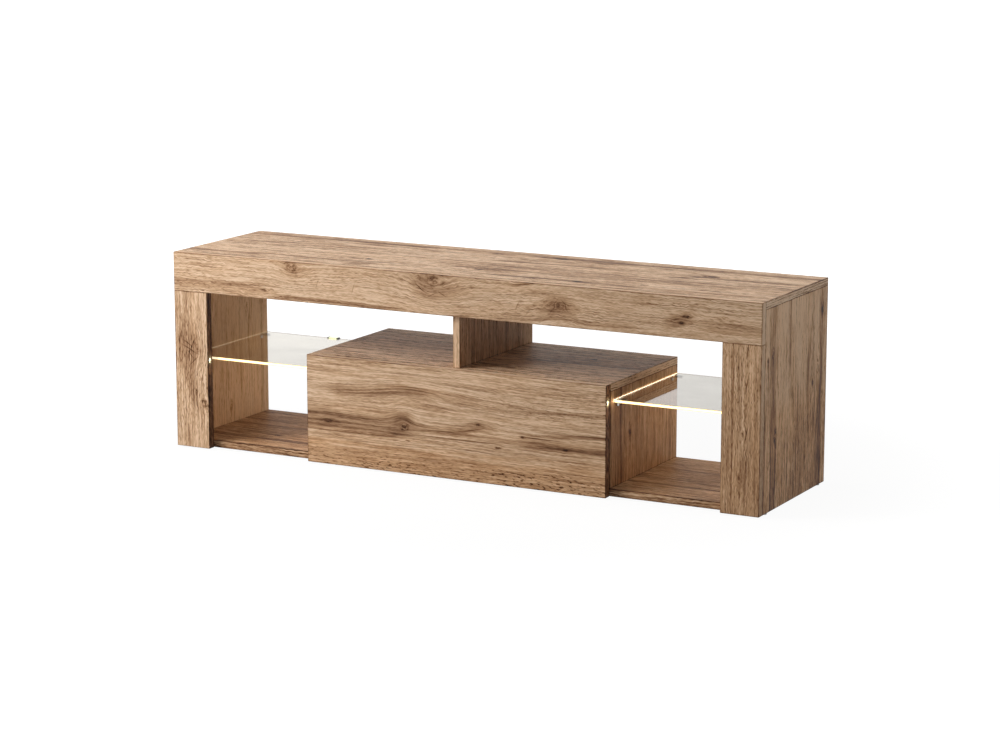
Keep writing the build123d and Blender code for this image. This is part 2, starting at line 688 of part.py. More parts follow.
with BuildPart() as hinge_base_leaves:
    for x in hinges_x:
        slab(
            (x - base_leaf_width / 2, x + base_leaf_width / 2),
            (y_pivot, y_box + base_leaf_length),
            (z_pivot - base_leaf_thickness / 2, z_pivot + base_leaf_thickness / 2),
        )
        rod((x - base_leaf_width / 2, y_pivot, z_pivot), RIGHT, eye_radius, base_leaf_width)
        eye_bore = pin_radius + pin_play
        rod((x - base_leaf_width / 2, y_pivot, z_pivot), RIGHT, eye_bore, base_leaf_width, Mode.SUBTRACT)
    for point in base_screws_at:
        rod(point, UP, leaf_screw.shank_radius + bore_play, leaf_screw.length, Mode.SUBTRACT)
save(hinge_base_leaves, "hinge_base_leaves")

for name, points, direction, screw in (
    ("hinge_flap_screws", flap_screws_at, FORWARD, leaf_screw),
    ("hinge_base_screws", base_screws_at, UP, leaf_screw),
    ("stay_bracket_screws", bracket_screws_at, FORWARD, stay_screw),
    ("latch_screws", latch_screws_at, UP, latch_screw),
):
    with BuildPart() as screws:
        for point in points:
            countersunk(point, direction, screw)
            cross_recess(point, direction, screw.head_radius, cross_width, screw.head_height)
    save(screws, name)

with BuildPart() as stay_wall_screws:
    for x, y, z in wall_screws_at:
        into_wall = (1 if x > 0 else -1, 0, 0)
        countersunk((x, y, z), into_wall, stay_screw)
        cross_recess((x, y, z), into_wall, stay_screw.head_radius, cross_width, stay_screw.head_height)
save(stay_wall_screws, "stay_wall_screws")

# ---- flap stays ----
def stay_plane(x, y, z):
    """The plane of a stay, with its own x along the rod."""
    return Plane(origin=(x, y, z), x_dir=along_stay, z_dir=RIGHT)


with BuildPart() as stay_wall_plates:
    for side in (-1, 1):
        plate_low = min(side * x_box_in, side * (x_box_in - stay_plate_thickness))
        with BuildSketch(Plane.YZ.offset(plate_low)) as plate:
            with Locations((y_block_pivot, z_block_pivot)):
                RectangleRounded(stay_plate_width, stay_plate_length, stay_plate_width / 4)
        extrude(plate.sketch, amount=stay_plate_thickness)
        stud_start = (side * (x_box_in - stay_plate_thickness), y_block_pivot, z_block_pivot)
        to_middle = (-side, 0, 0)
        rod(stud_start, to_middle, stud_radius, stay_block_width + 2 * stay_gap)
        stud_end = step(stud_start, to_middle, stay_block_width + 2 * stay_gap)
        rod(stud_end, to_middle, stud_head_radius, stud_head)
    for x, y, z in wall_screws_at:
        countersunk((x, y, z), (1 if x > 0 else -1, 0, 0), stay_screw, Mode.SUBTRACT, bore_play)
save(stay_wall_plates, "stay_wall_plates")

with BuildPart() as stay_flap_brackets:
    for side in (-1, 1):
        slab(
            sorted((side * (x_ear - bracket_width), side * x_ear)),
            (y_carcass, y_carcass + flap_leaf_thickness),
            (z_rod_pivot - bracket_height / 2, z_rod_pivot + bracket_height / 2),
        )
        ear_low = min(side * x_ear, side * x_bracket)
        with BuildSketch(Plane.YZ.offset(ear_low)) as ear:
            with Locations((y_rod_pivot, z_rod_pivot)):
                Circle(ear_radius)
            with Locations(((y_carcass + y_rod_pivot) / 2, z_rod_pivot)):
                Rectangle(y_rod_pivot - y_carcass, 2 * ear_radius)
        extrude(ear.sketch, amount=ear_thickness)
        pin_bore = pivot_pin_radius + pin_play
        rod((ear_low, y_rod_pivot, z_rod_pivot), RIGHT, pin_bore, ear_thickness, Mode.SUBTRACT)
    for point in bracket_screws_at:
        countersunk(point, FORWARD, stay_screw, Mode.SUBTRACT, bore_play)
save(stay_flap_brackets, "stay_flap_brackets")

x_pin_end = x_rod + rod_eye_thickness / 2 + stay_gap
with BuildPart() as stay_pivot_pins:
    for side in (-1, 1):
        start = (side * x_bracket, y_rod_pivot, z_rod_pivot)
        end = (side * x_pin_end, y_rod_pivot, z_rod_pivot)
        rod(start, (side, 0, 0), pivot_pin_radius, x_pin_end - x_bracket)
        rod(start, (-side, 0, 0), pivot_pin_head_radius, pivot_pin_head)
        rod(end, (side, 0, 0), pivot_pin_head_radius, pivot_pin_head)
save(stay_pivot_pins, "stay_pivot_pins")

for side, name in ((-1, "left"), (1, "right")):
    rod_pivot = (side * x_rod, y_rod_pivot, z_rod_pivot)
    block_pivot = (side * x_rod, y_block_pivot, z_block_pivot)

    with BuildPart() as stay_rod:
        with BuildSketch(stay_plane(side * x_rod - rod_eye_thickness / 2, y_rod_pivot, z_rod_pivot)) as eye:
            Circle(rod_eye_radius)
            with Locations((0, rod_offset / 2)):
                Rectangle(2 * rod_eye_radius, rod_offset)
        extrude(eye.sketch, amount=rod_eye_thickness)
        rod_start = step(step(rod_pivot, across_stay, rod_offset), along_stay, -rod_eye_radius)
        rod(rod_start, along_stay, rod_radius, rod_eye_radius + rod_stop_at)
        stop_start = step(rod_start, along_stay, rod_eye_radius + rod_stop_at)
        rod(stop_start, along_stay, rod_stop_radius, rod_stop)
        bore_start = (side * x_rod - rod_radius, y_rod_pivot, z_rod_pivot)
        rod(bore_start, RIGHT, pivot_pin_radius + pin_play, 2 * rod_radius, Mode.SUBTRACT)
    save(stay_rod, f"stay_rod_{name}")

    with BuildPart() as stay_block:
        block_low = min(side * x_block_outer, side * x_block_inner)
        with BuildSketch(stay_plane(block_low, y_block_pivot, z_block_pivot)) as block:
            with Locations((0, (stay_block_above - stay_block_below) / 2)):
                block_height = stay_block_above + stay_block_below
                RectangleRounded(stay_block_length, block_height, stay_block_rounding)
        extrude(block.sketch, amount=stay_block_width)
        stud_bore = (block_low, y_block_pivot, z_block_pivot)
        rod(stud_bore, RIGHT, stud_radius + pin_play, stay_block_width, Mode.SUBTRACT)
        bore_start = step(step(block_pivot, across_stay, rod_offset), along_stay, -stay_block_length / 2)
        rod(bore_start, along_stay, rod_radius + rod_play, stay_block_length, Mode.SUBTRACT)
        block_top = step(block_pivot, across_stay, stay_block_above)
        down_into_block = tuple(-d for d in across_stay)
        rod(block_top, down_into_block, brake_shank_radius + bore_play, brake_shank, Mode.SUBTRACT)
    save(stay_block, f"stay_block_{name}")

    with BuildPart() as brake_screw:
        rod(block_top, down_into_block, brake_shank_radius, brake_shank)
        rod(block_top, across_stay, brake_head_radius, brake_head)
        knob_top = step(block_top, across_stay, brake_head)
        with Locations(Plane(origin=knob_top, x_dir=along_stay, z_dir=down_into_block)):
            low = (Align.CENTER, Align.CENTER, Align.MIN)
            Box(2 * brake_head_radius, brake_slot_width, brake_slot_depth, align=low, mode=Mode.SUBTRACT)
    save(brake_screw, f"stay_brake_screw_{name}")

# ---- push latch ----
with BuildPart() as latch_housing:
    slab(
        (-latch_width / 2, latch_width / 2),
        (y_latch, y_latch + latch_length),
        (z_latch_under, z_box_under),
    )
    fillet(latch_housing.edges().filter_by(Axis.Z), latch_rounding)
    rod((0, y_latch, z_latch), BACKWARD, plunger_radius + plunger_play, latch_bore_length, Mode.SUBTRACT)
    for point in latch_screws_at:
        countersunk(point, UP, latch_screw, Mode.SUBTRACT, bore_play)
save(latch_housing, "latch_housing")

with BuildPart() as latch_plunger:
    rod((0, y_plunger, z_latch), BACKWARD, plunger_radius, plunger_length)
    fillet(latch_plunger.edges().group_by(Axis.Y)[0], plunger_rounding)
    rod((0, y_plunger, z_latch), BACKWARD, magnet_radius + bore_play, magnet, Mode.SUBTRACT)
save(latch_plunger, "latch_plunger")

with BuildPart() as latch_magnet:
    rod((0, y_plunger, z_latch), BACKWARD, magnet_radius, magnet)
save(latch_magnet, "latch_magnet")

# The spring's end coils touch the plunger's tail and the bore's end.
spring_start = y_plunger + plunger_length + spring_wire_radius
spring_length = y_latch_bore_end - spring_wire_radius - spring_start
with BuildPart() as latch_spring:
    with BuildLine() as coil:
        Helix(spring_pitch, spring_length, spring_radius, center=(0, spring_start, z_latch), direction=BACKWARD)
    with BuildSketch(Plane(origin=coil.line @ 0, z_dir=coil.line % 0)):
        Circle(spring_wire_radius)
    sweep(path=coil.line, is_frenet=True)
save(latch_spring, "latch_spring")

with BuildPart() as latch_strike_plate:
    slab(
        (-strike_width / 2, strike_width / 2),
        (y_carcass, y_strike),
        (z_latch - strike_height / 2, z_latch + strike_height / 2),
    )
    fillet(latch_strike_plate.edges().filter_by(Axis.Y), strike_rounding)
    countersunk((0, y_strike, z_latch), FORWARD, strike_screw, Mode.SUBTRACT, bore_play)
save(latch_strike_plate, "latch_strike_plate")

with BuildPart() as latch_strike_screw:
    countersunk((0, y_strike, z_latch), FORWARD, strike_screw)
save(latch_strike_screw, "latch_strike_screw")

with BuildPart() as flap_bumpers:
    bumper_height = flap_gap - bumper_gap
    for side in (-1, 1):
        rod((side * x_partition_middle, y_box, z_box_under - bumper_inset), FORWARD, bumper_radius, bumper_height)
    fillet(flap_bumpers.edges().group_by(Axis.Y)[0], bumper_rounding)
save(flap_bumpers, "flap_bumpers")

print("stay closed", round(stay_closed, 2), "open", round(stay_open, 2), "pivot", y_pivot, z_pivot)
print("rod pivot", y_rod_pivot, round(z_rod_pivot, 3), "block pivot", y_block_pivot, round(z_block_pivot, 3))
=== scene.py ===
import math

import bmesh
import bpy
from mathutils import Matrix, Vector


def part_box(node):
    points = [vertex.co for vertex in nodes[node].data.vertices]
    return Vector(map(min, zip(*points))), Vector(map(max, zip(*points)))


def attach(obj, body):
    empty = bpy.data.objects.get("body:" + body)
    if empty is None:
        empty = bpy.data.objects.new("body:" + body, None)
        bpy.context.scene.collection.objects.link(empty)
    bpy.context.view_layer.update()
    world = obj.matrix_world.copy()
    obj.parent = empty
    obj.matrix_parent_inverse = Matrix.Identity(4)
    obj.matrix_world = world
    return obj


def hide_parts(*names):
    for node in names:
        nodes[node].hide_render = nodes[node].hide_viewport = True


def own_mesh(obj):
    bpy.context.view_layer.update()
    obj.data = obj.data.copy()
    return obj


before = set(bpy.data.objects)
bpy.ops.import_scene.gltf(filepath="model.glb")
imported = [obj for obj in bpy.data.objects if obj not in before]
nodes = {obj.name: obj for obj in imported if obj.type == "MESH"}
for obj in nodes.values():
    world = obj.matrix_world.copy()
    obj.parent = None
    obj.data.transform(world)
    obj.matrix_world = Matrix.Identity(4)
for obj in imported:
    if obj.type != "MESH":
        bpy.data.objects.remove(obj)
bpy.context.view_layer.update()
print("frame loaded:", len(nodes), "pieces")

mm = 0.001
quarter = math.radians(90)


# short calls for shader trees, meshes and objects

def addNode(tree, kind, **settings):
    node = tree.nodes.new(kind)
    for name, value in settings.items():
        setattr(node, name, value)
    return node


def plug(tree, value, socket):
    if isinstance(value, bpy.types.NodeSocket):
        tree.links.new(value, socket)
    else:
        socket.default_value = value


def plugAll(tree, values, sockets):
    for value, socket in zip(values, sockets):
        plug(tree, value, socket)


def calc(tree, operation, *values, clamp=False):
    node = addNode(tree, "ShaderNodeMath", operation=operation, use_clamp=clamp)
    plugAll(tree, values, node.inputs)
    return node.outputs[0]


def vectorCalc(tree, operation, *values):
    node = addNode(tree, "ShaderNodeVectorMath", operation=operation)
    plugAll(tree, values, node.inputs)
    return node.outputs["Value" if operation in ("DOT_PRODUCT", "LENGTH") else "Vector"]


def split(tree, vector):
    node = addNode(tree, "ShaderNodeSeparateXYZ")
    plug(tree, vector, node.inputs[0])
    return tuple(node.outputs)


def join(tree, x, y, z):
    node = addNode(tree, "ShaderNodeCombineXYZ")
    plugAll(tree, (x, y, z), node.inputs)
    return node.outputs[0]


def ramp(tree, value, low, high, toLow=0.0, toHigh=1.0):
    node = addNode(tree, "ShaderNodeMapRange", interpolation_type="SMOOTHSTEP")
    plugAll(tree, (value, low, high, toLow, toHigh), node.inputs)
    return node.outputs[0]


def mixColour(tree, share, first, second, blend="MIX"):
    node = addNode(tree, "ShaderNodeMix", data_type="RGBA", blend_type=blend)
    plugAll(tree, (share, first, second), (node.inputs[0], node.inputs[6], node.inputs[7]))
    return node.outputs[2]


def mixShaders(tree, share, first, second):
    node = addNode(tree, "ShaderNodeMixShader")
    plugAll(tree, (share, first, second), node.inputs)
    tree.links.new(node.outputs[0], tree.nodes["Material Output"].inputs[0])


def objectPoint(tree):
    return addNode(tree, "ShaderNodeTexCoord").outputs["Object"]


def noise(tree, vector, stretch=(1, 1, 1), detail=2.0, roughness=0.5):
    node = addNode(tree, "ShaderNodeTexNoise")
    plug(tree, vectorCalc(tree, "MULTIPLY", vector, stretch), node.inputs["Vector"])
    for name, value in (("Scale", 1.0), ("Detail", detail), ("Roughness", roughness)):
        node.inputs[name].default_value = value
    return node.outputs[0]


# the same about zero, for what lightens as much as it darkens
def swing(tree, vector, stretch, detail=2.0, roughness=0.5):
    return calc(tree, "SUBTRACT", noise(tree, vector, stretch, detail, roughness), 0.5)


def newGroup(name, inputs, outputs):
    tree = bpy.data.node_groups.new(name, "ShaderNodeTree")
    kinds = {"f": "NodeSocketFloat", "v": "NodeSocketVector", "c": "NodeSocketColor"}
    for direction, sockets in (("INPUT", inputs), ("OUTPUT", outputs)):
        for label, (kind, value) in sockets.items():
            socket = tree.interface.new_socket(label, in_out=direction, socket_type=kinds[kind])
            if value is not None:
                socket.default_value = value
    return tree, addNode(tree, "NodeGroupInput").outputs, addNode(tree, "NodeGroupOutput").inputs


def useGroup(tree, group, **values):
    node = addNode(tree, "ShaderNodeGroup", node_tree=group)
    for name, value in values.items():
        plug(tree, value, node.inputs[name])
    return node.outputs


def srgb(red, green, blue):
    shares = (red / 255, green / 255, blue / 255)
    return (*(c / 12.92 if c <= 0.04045 else ((c + 0.055) / 1.055) ** 2.4 for c in shares), 1.0)


def feed(tree, shader, **values):
    for label, value in values.items():
        plug(tree, value, shader.inputs[label.replace("_", " ")])


def newMaterial(name, **settings):
    material = bpy.data.materials.new(name)
    material.use_nodes = True
    tree = material.node_tree
    shader = tree.nodes["Principled BSDF"]
    feed(tree, shader, **settings)
    return material, tree, shader


def addBump(tree, shader, height, distance, strength=1.0):
    bump = addNode(tree, "ShaderNodeBump")
    feed(tree, bump, Strength=strength, Distance=distance, Height=height)
    tree.links.new(bump.outputs[0], shader.inputs["Normal"])


def paint(node, material):
    mesh = nodes[node].data
    mesh.materials.clear()
    mesh.materials.append(material)


def finishMesh(name, shape, materials):
    mesh = bpy.data.meshes.new(name)
    shape.to_mesh(mesh)
    shape.free()
    for material in materials:
        mesh.materials.append(material)
    return mesh


def addObject(name, data):
    item = bpy.data.objects.new(name, data)
    bpy.context.scene.collection.objects.link(item)
    return item


def addLight(name, power, colour, size=None, softRadius=0.0):
    light = bpy.data.lights.new(name, "AREA" if size else "POINT")
    light.energy, light.color = power, colour
    if size:
        light.shape = "RECTANGLE"
        light.size, light.size_y = size
    else:
        light.shadow_soft_size = softRadius
    return addObject(name, light)


# oak decor

facing = 0.7  # how square on a side has to be to count as that side


# lays the decor flat on every side of a board: x along the grain, y across it, z the board's own seed
def makeBoardFrame():
    endSeed = 0.37
    tree, get, put = newGroup(
        "boardFrame",
        {"Along": ("v", (1, 0, 0)), "Across": ("v", (0, 1, 1)), "End along": ("v", (0, 1, 0)),
         "End across": ("v", (0, 0, 1)), "Shift": ("v", (0, 0, 0))},
        {"Vector": ("v", None), "On end": ("f", None)},
    )
    place = addNode(tree, "ShaderNodeTexCoord")
    point, normal = place.outputs["Object"], place.outputs["Normal"]
    dot = lambda a, b: vectorCalc(tree, "DOT_PRODUCT", a, b)
    onEnd = calc(tree, "GREATER_THAN", calc(tree, "ABSOLUTE", dot(normal, get["Along"])), facing)
    face = join(tree, dot(point, get["Along"]), dot(point, get["Across"]), 0.0)
    end = join(tree, dot(point, get["End along"]), dot(point, get["End across"]), endSeed)
    both = addNode(tree, "ShaderNodeMix", data_type="VECTOR")
    plugAll(tree, (onEnd, face, end), (both.inputs[0], both.inputs[4], both.inputs[5]))
    plug(tree, vectorCalc(tree, "ADD", both.outputs[1], get["Shift"]), put["Vector"])
    plug(tree, onEnd, put["On end"])
    return tree


knotShape = {"stretch": 2.3, "push": 0.7, "coreReach": 1.5, "coreWobble": 6.5, "haloReach": 1.3,
             "haloWobble": 2.6, "rings": 1500.0, "ringWobble": 8.0, "ringDepth": 0.15}


# the grain parts round a knot, which has a dark core and a ringed halo
def makeKnot():
    tree, get, put = newGroup(
        "knot",
        {"Vector": ("v", None), "Wobble": ("f", 0.0), "Centre": ("v", (0, 0, 0)), "Core": ("f", 0.006),
         "Bulge": ("f", 0.02)},
        {"Vector": ("v", None), "Core": ("f", None), "Halo": ("f", None)},
    )
    along, across, seed = split(tree, get["Vector"])
    centreAlong, centreAcross, _ = split(tree, get["Centre"])
    square = lambda a: calc(tree, "MULTIPLY", a, a)
    dx = calc(tree, "SUBTRACT", along, centreAlong)
    dy = calc(tree, "SUBTRACT", across, centreAcross)
    far = calc(tree, "ADD", square(calc(tree, "DIVIDE", dx, knotShape["stretch"])), square(dy))
    bulge = square(get["Bulge"])
    push = calc(tree, "DIVIDE", bulge, calc(tree, "MULTIPLY_ADD", bulge, knotShape["push"], far))
    bent = calc(tree, "MULTIPLY", dy, calc(tree, "SUBTRACT", 1.0, push))
    plug(tree, join(tree, along, calc(tree, "ADD", centreAcross, bent), seed), put["Vector"])
    distance = calc(tree, "SQRT", far)
    near = calc(tree, "DIVIDE", distance, get["Core"])
    near = calc(tree, "MULTIPLY_ADD", get["Wobble"], knotShape["coreWobble"], near)
    plug(tree, ramp(tree, near, 0.0, knotShape["coreReach"], 1.0, 0.0), put["Core"])
    spread = calc(tree, "DIVIDE", distance, calc(tree, "MULTIPLY", get["Bulge"], knotShape["haloReach"]))
    spread = calc(tree, "MULTIPLY_ADD", get["Wobble"], knotShape["haloWobble"], spread)
    ring = calc(tree, "MULTIPLY", get["Wobble"], knotShape["ringWobble"])
    ring = calc(tree, "SINE", calc(tree, "MULTIPLY_ADD", distance, knotShape["rings"], ring))
    ring = calc(tree, "MULTIPLY_ADD", ring, knotShape["ringDepth"], 1 - knotShape["ringDepth"])
    plug(tree, calc(tree, "MULTIPLY", ramp(tree, spread, 0.0, 1.0, 1.0, 0.0), ring), put["Halo"])
    return tree


# a soft bow in the grain, as beside a knot in the next board
def makeSwell():
    tree, get, put = newGroup(
        "swell",
        {"Vector": ("v", None), "Centre": ("v", (0, 0, 0)), "Reach": ("v", (0.1, 0.03, 1)),
         "Lift": ("f", 0.01)},
        {"Vector": ("v", None)},
    )
    away = vectorCalc(tree, "SUBTRACT", get["Vector"], get["Centre"])
    away = vectorCalc(tree, "DIVIDE", away, get["Reach"])
    away = vectorCalc(tree, "MULTIPLY", away, (1, 1, 0))
    share = calc(tree, "MULTIPLY", vectorCalc(tree, "DOT_PRODUCT", away, away), -1.0)
    shift = calc(tree, "MULTIPLY", calc(tree, "EXPONENT", share), calc(tree, "MULTIPLY", get["Lift"], -1.0))
    plug(tree, vectorCalc(tree, "ADD", get["Vector"], join(tree, 0.0, shift, 0.0)), put["Vector"])
    return tree


# solid, gone and ragged are in half widths, the longest fade in metres
streakEdge = {"solid": 0.5, "gone": 1.25, "ragged": 1.5, "fadeShare": 0.35, "longestFade": 0.05}


# a dark line or band with ragged sides and faded ends
def makeStreak():
    tree, get, put = newGroup(
        "streak",
        {"Vector": ("v", None), "Edge": ("f", 0.0), "Centre": ("f", 0.0), "Half width": ("f", 0.01),
         "Start": ("f", -1.0), "End": ("f", 1.0), "Slope": ("f", 0.0), "Fade": ("f", 0.05)},
        {"Mask": ("f", None)},
    )
    along, across, _ = split(tree, get["Vector"])
    sinceStart = calc(tree, "SUBTRACT", along, get["Start"])
    middle = calc(tree, "MULTIPLY_ADD", sinceStart, get["Slope"], get["Centre"])
    off = calc(tree, "ABSOLUTE", calc(tree, "SUBTRACT", across, middle))
    off = calc(tree, "DIVIDE", off, get["Half width"])
    off = calc(tree, "MULTIPLY_ADD", get["Edge"], streakEdge["ragged"], off)
    inside = ramp(tree, off, streakEdge["solid"], streakEdge["gone"], 1.0, 0.0)
    startFade = calc(tree, "DIVIDE", sinceStart, get["Fade"], clamp=True)
    endFade = calc(tree, "DIVIDE", calc(tree, "SUBTRACT", get["End"], along), get["Fade"], clamp=True)
    plug(tree, calc(tree, "MULTIPLY", inside, calc(tree, "MULTIPLY", startFade, endFade)), put["Mask"])
    return tree


# layers: stretch of the noise along and across, detail, roughness, and weight in the tone
decor = {
    "inks": [(0.00, (46, 28, 18)), (0.20, (92, 62, 42)), (0.40, (140, 105, 78)), (0.60, (180, 145, 113)),
             (0.78, (206, 173, 141)), (1.00, (232, 204, 176))],
    "coarse": {"broad": ((1.6, 17, 1), 2.0, 0.5, 0.34), "smoke": ((4, 42, 1), 3.0, 0.6, 0.24),
               "lines": ((2.6, 235, 1), 3.0, 0.62, 0.58)},
    "fine": {"fibres": ((12, 400, 1), 2.0, 0.6, 1.15), "grit": ((70, 520, 1), 1.0, 0.5, 0.55),
             "pores": ((60, 1500, 1), 1.0, 0.5, 0.40)},
    "curl": {"stretch": (70, 95, 1), "shift": 0.0065},
    "contour": {"step": 1150.0, "bend": 26.0, "weight": 0.05, "patches": (0.44, 0.62)},
    "patches": (3.4, 13, 1),
    "dash": {"stretch": (70, 330, 1), "slant": (-1.4, 0.12), "seed": 3.1, "cut": (0.56, 0.64),
             "patches": (0.36, 0.60, 0.4), "depth": 0.40},
    "streak": {"depth": 0.38, "share": 0.9, "smoke": 0.2, "lines": 1.2, "evens": 0.45},
    # Edge: the dark line along board edges, partly glue line, partly painted shade
    "depths": {"Halos": 0.26, "Knots": 0.22, "Edge": 0.34},
    # reach of the painted shade along the grain, in metres: full below the first, none above the second
    "shade": (-0.05, 0.45),
    # the warm colour serves the decor's own warmth and the painted shade warmth of boards in shade
    "warm": {"colour": (1.04, 0.88, 0.70, 1), "smoke": 0.7},
    "rough": {"level": 0.54, "fibres": 0.30, "dashes": 0.15},
    "poreHeight": 1.2,
}


# the printed oak, from the masks of its knots, streaks and dashes, with the painted light and shade each
# board brings in its tone, warmth, darker end and edge line
def makeOakGrain():
    tree, get, put = newGroup(
        "oakGrain",
        {"Vector": ("v", None), "Streaks": ("f", 0.0), "Knots": ("f", 0.0), "Halos": ("f", 0.0),
         "Tone": ("f", 0.72), "Contrast": ("f", 1.0), "Curl": ("f", 1.0), "Dashes": ("f", 0.6),
         "Warm": ("f", 0.0), "Edge": ("f", 0.0), "Shade": ("f", 0.0), "Fine": ("f", 1.0)},
        {"Color": ("c", None), "Roughness": ("f", None), "Height": ("f", None)},
    )
    vector = get["Vector"]
    along, across, seed = split(tree, vector)
    patches = noise(tree, vector, decor["patches"], detail=1.0)
    curl = swing(tree, vector, decor["curl"]["stretch"], detail=1.0)
    shift = calc(tree, "MULTIPLY", get["Curl"], decor["curl"]["shift"])
    curled = join(tree, along, calc(tree, "MULTIPLY_ADD", curl, shift, across), seed)

    layers, tone = {}, 0.0
    for name, (stretch, detail, roughness, weight) in decor["fine"].items():
        layers[name] = swing(tree, curled, stretch, detail, roughness)
        tone = calc(tree, "MULTIPLY_ADD", layers[name], weight, tone)
    tone = calc(tree, "MULTIPLY", tone, get["Fine"])
    for name, (stretch, detail, roughness, weight) in decor["coarse"].items():
        layers[name] = swing(tree, vector, stretch, detail, roughness)
        tone = calc(tree, "MULTIPLY_ADD", layers[name], weight, tone)
    smoke, lines, fibres = layers["smoke"], layers["lines"], layers["fibres"]

    settings = decor["contour"]
    contour = calc(tree, "MULTIPLY", across, settings["step"])
    contour = calc(tree, "SINE", calc(tree, "MULTIPLY_ADD", smoke, settings["bend"], contour))
    contour = calc(tree, "MULTIPLY", contour, ramp(tree, patches, *settings["patches"]))
    tone = calc(tree, "MULTIPLY_ADD", contour, settings["weight"], tone)

    settings = decor["streak"]
    evened = calc(tree, "MULTIPLY_ADD", calc(tree, "MINIMUM", get["Streaks"], 1.0), -settings["evens"], 1.0)
    tone = calc(tree, "MULTIPLY", tone, calc(tree, "MULTIPLY", get["Contrast"], evened))
    tone = calc(tree, "ADD", tone, get["Tone"])
    share = calc(tree, "MULTIPLY_ADD", smoke, -settings["smoke"], settings["share"])
    share = calc(tree, "MULTIPLY_ADD", lines, -settings["lines"], share)
    tone = calc(tree, "MULTIPLY_ADD", calc(tree, "MULTIPLY", get["Streaks"], share), -settings["depth"], tone)

    settings = decor["dash"]
    slantAlong, slantAcross = settings["slant"]
    slant = join(tree, calc(tree, "MULTIPLY_ADD", across, slantAlong, along),
                 calc(tree, "MULTIPLY_ADD", along, slantAcross, across), settings["seed"])
    dashes = ramp(tree, noise(tree, slant, settings["stretch"], 1.0, 0.6), *settings["cut"])
    dashes = calc(tree, "MULTIPLY", dashes, ramp(tree, patches, *settings["patches"]))
    dashes = calc(tree, "MULTIPLY", dashes, get["Dashes"])
    tone = calc(tree, "MULTIPLY_ADD", dashes, -settings["depth"], tone)

    for label, depth in decor["depths"].items():
        tone = calc(tree, "MULTIPLY_ADD", get[label], -depth, tone)
    # painted shade: darker towards the low end along the grain, the foot of an upright board and the left end
    # of a lying one
    shade = calc(tree, "MULTIPLY", get["Shade"], ramp(tree, along, *decor["shade"], 1.0, 0.0))
    tone = calc(tree, "SUBTRACT", tone, shade)

    colours = addNode(tree, "ShaderNodeValToRGB")
    plug(tree, tone, colours.inputs[0])
    for place, _ in decor["inks"][2:]:
        colours.color_ramp.elements.new(place)
    for stop, (place, ink) in zip(colours.color_ramp.elements, decor["inks"]):
        stop.position, stop.color = place, srgb(*ink)
    # warm: the decor's own warmth from the smoke layer and the board's base, plus the painted shade warmth a
    # board is given
    warm = calc(tree, "MULTIPLY_ADD", smoke, decor["warm"]["smoke"], get["Warm"], clamp=True)
    plug(tree, mixColour(tree, warm, colours.outputs[0], decor["warm"]["colour"], "MULTIPLY"), put["Color"])
    rough = calc(tree, "MULTIPLY_ADD", fibres, -decor["rough"]["fibres"], decor["rough"]["level"])
    plug(tree, calc(tree, "MULTIPLY_ADD", dashes, decor["rough"]["dashes"], rough), put["Roughness"])
    height = calc(tree, "MULTIPLY_ADD", layers["pores"], decor["poreHeight"], fibres)
    height = calc(tree, "SUBTRACT", height, dashes)
    plug(tree, calc(tree, "SUBTRACT", height, get["Knots"]), put["Height"])
    return tree


# slow and quick sideways drift of the whole grain
waves = {"slow": {"stretch": (2.2, 7, 1), "detail": 1.0, "shift": 0.045},
         "quick": {"stretch": (11, 42, 1), "detail": 2.0, "shift": 0.006}}


def makeWave():
    tree, get, put = newGroup(
        "grainWave", {"Vector": ("v", None), "Amount": ("f", 1.0)}, {"Vector": ("v", None)})
    along, across, seed = split(tree, get["Vector"])
    shift = 0.0
    for wave in waves.values():
        shift = calc(tree, "MULTIPLY_ADD", swing(tree, get["Vector"], wave["stretch"], wave["detail"]),
                     wave["shift"], shift)
    across = calc(tree, "MULTIPLY_ADD", shift, get["Amount"], across)
    plug(tree, join(tree, along, across, seed), put["Vector"])
    return tree


edgeShape = {"width": 1.8, "reach": (0.2, 1.3)}


# a thin dark line along the edges of a board, partly the edge band's glue line and partly painted shade in
# the seams, by the middle one of the three distances to its sides
def makeGlueAndSeamShade():
    width = edgeShape["width"] * mm
    tree, get, put = newGroup(
        "glueAndSeamShadeMask", {"Low": ("v", (0, 0, 0)), "High": ("v", (1, 1, 1)), "Width": ("f", width)},
        {"Mask": ("f", None)})
    point = objectPoint(tree)
    fromLow = vectorCalc(tree, "SUBTRACT", point, get["Low"])
    fromHigh = vectorCalc(tree, "SUBTRACT", get["High"], point)
    x, y, z = split(tree, vectorCalc(tree, "MINIMUM", fromLow, fromHigh))
    least = calc(tree, "MINIMUM", x, calc(tree, "MINIMUM", y, z))
    most = calc(tree, "MAXIMUM", x, calc(tree, "MAXIMUM", y, z))
    middle = calc(tree, "ADD", x, calc(tree, "ADD", y, z))
    middle = calc(tree, "SUBTRACT", calc(tree, "SUBTRACT", middle, least), most)
    middle = calc(tree, "DIVIDE", middle, get["Width"])
    plug(tree, ramp(tree, middle, *edgeShape["reach"], 1.0, 0.0), put["Mask"])
    return tree


boardFrame, knotGroup, swellGroup, streakGroup = makeBoardFrame(), makeKnot(), makeSwell(), makeStreak()
oakGrain, grainWave, glueAndSeamShadeMask = makeOakGrain(), makeWave(), makeGlueAndSeamShade()

# how the decor lies on a board: grain, across it, and the same for the banded ends
lay = {
    "long": {"Along": (1, 0, 0), "Across": (0, 1, 1), "End along": (0, 1, 0), "End across": (0, 0, 1)},
    "longFront": {"Along": (1, 0, 0), "Across": (0, 1, 1), "End along": (0, 0, 1), "End across": (0, 1, 0)},
    "side": {"Along": (0, 0, 1), "Across": (1, 1, 0), "End along": (0, 1, 0), "End across": (1, 0, 0)},
    "post": {"Along": (0, 0, 1), "Across": (1, 1, 0), "End along": (1, 0, 0), "End across": (0, 1, 0)},
}

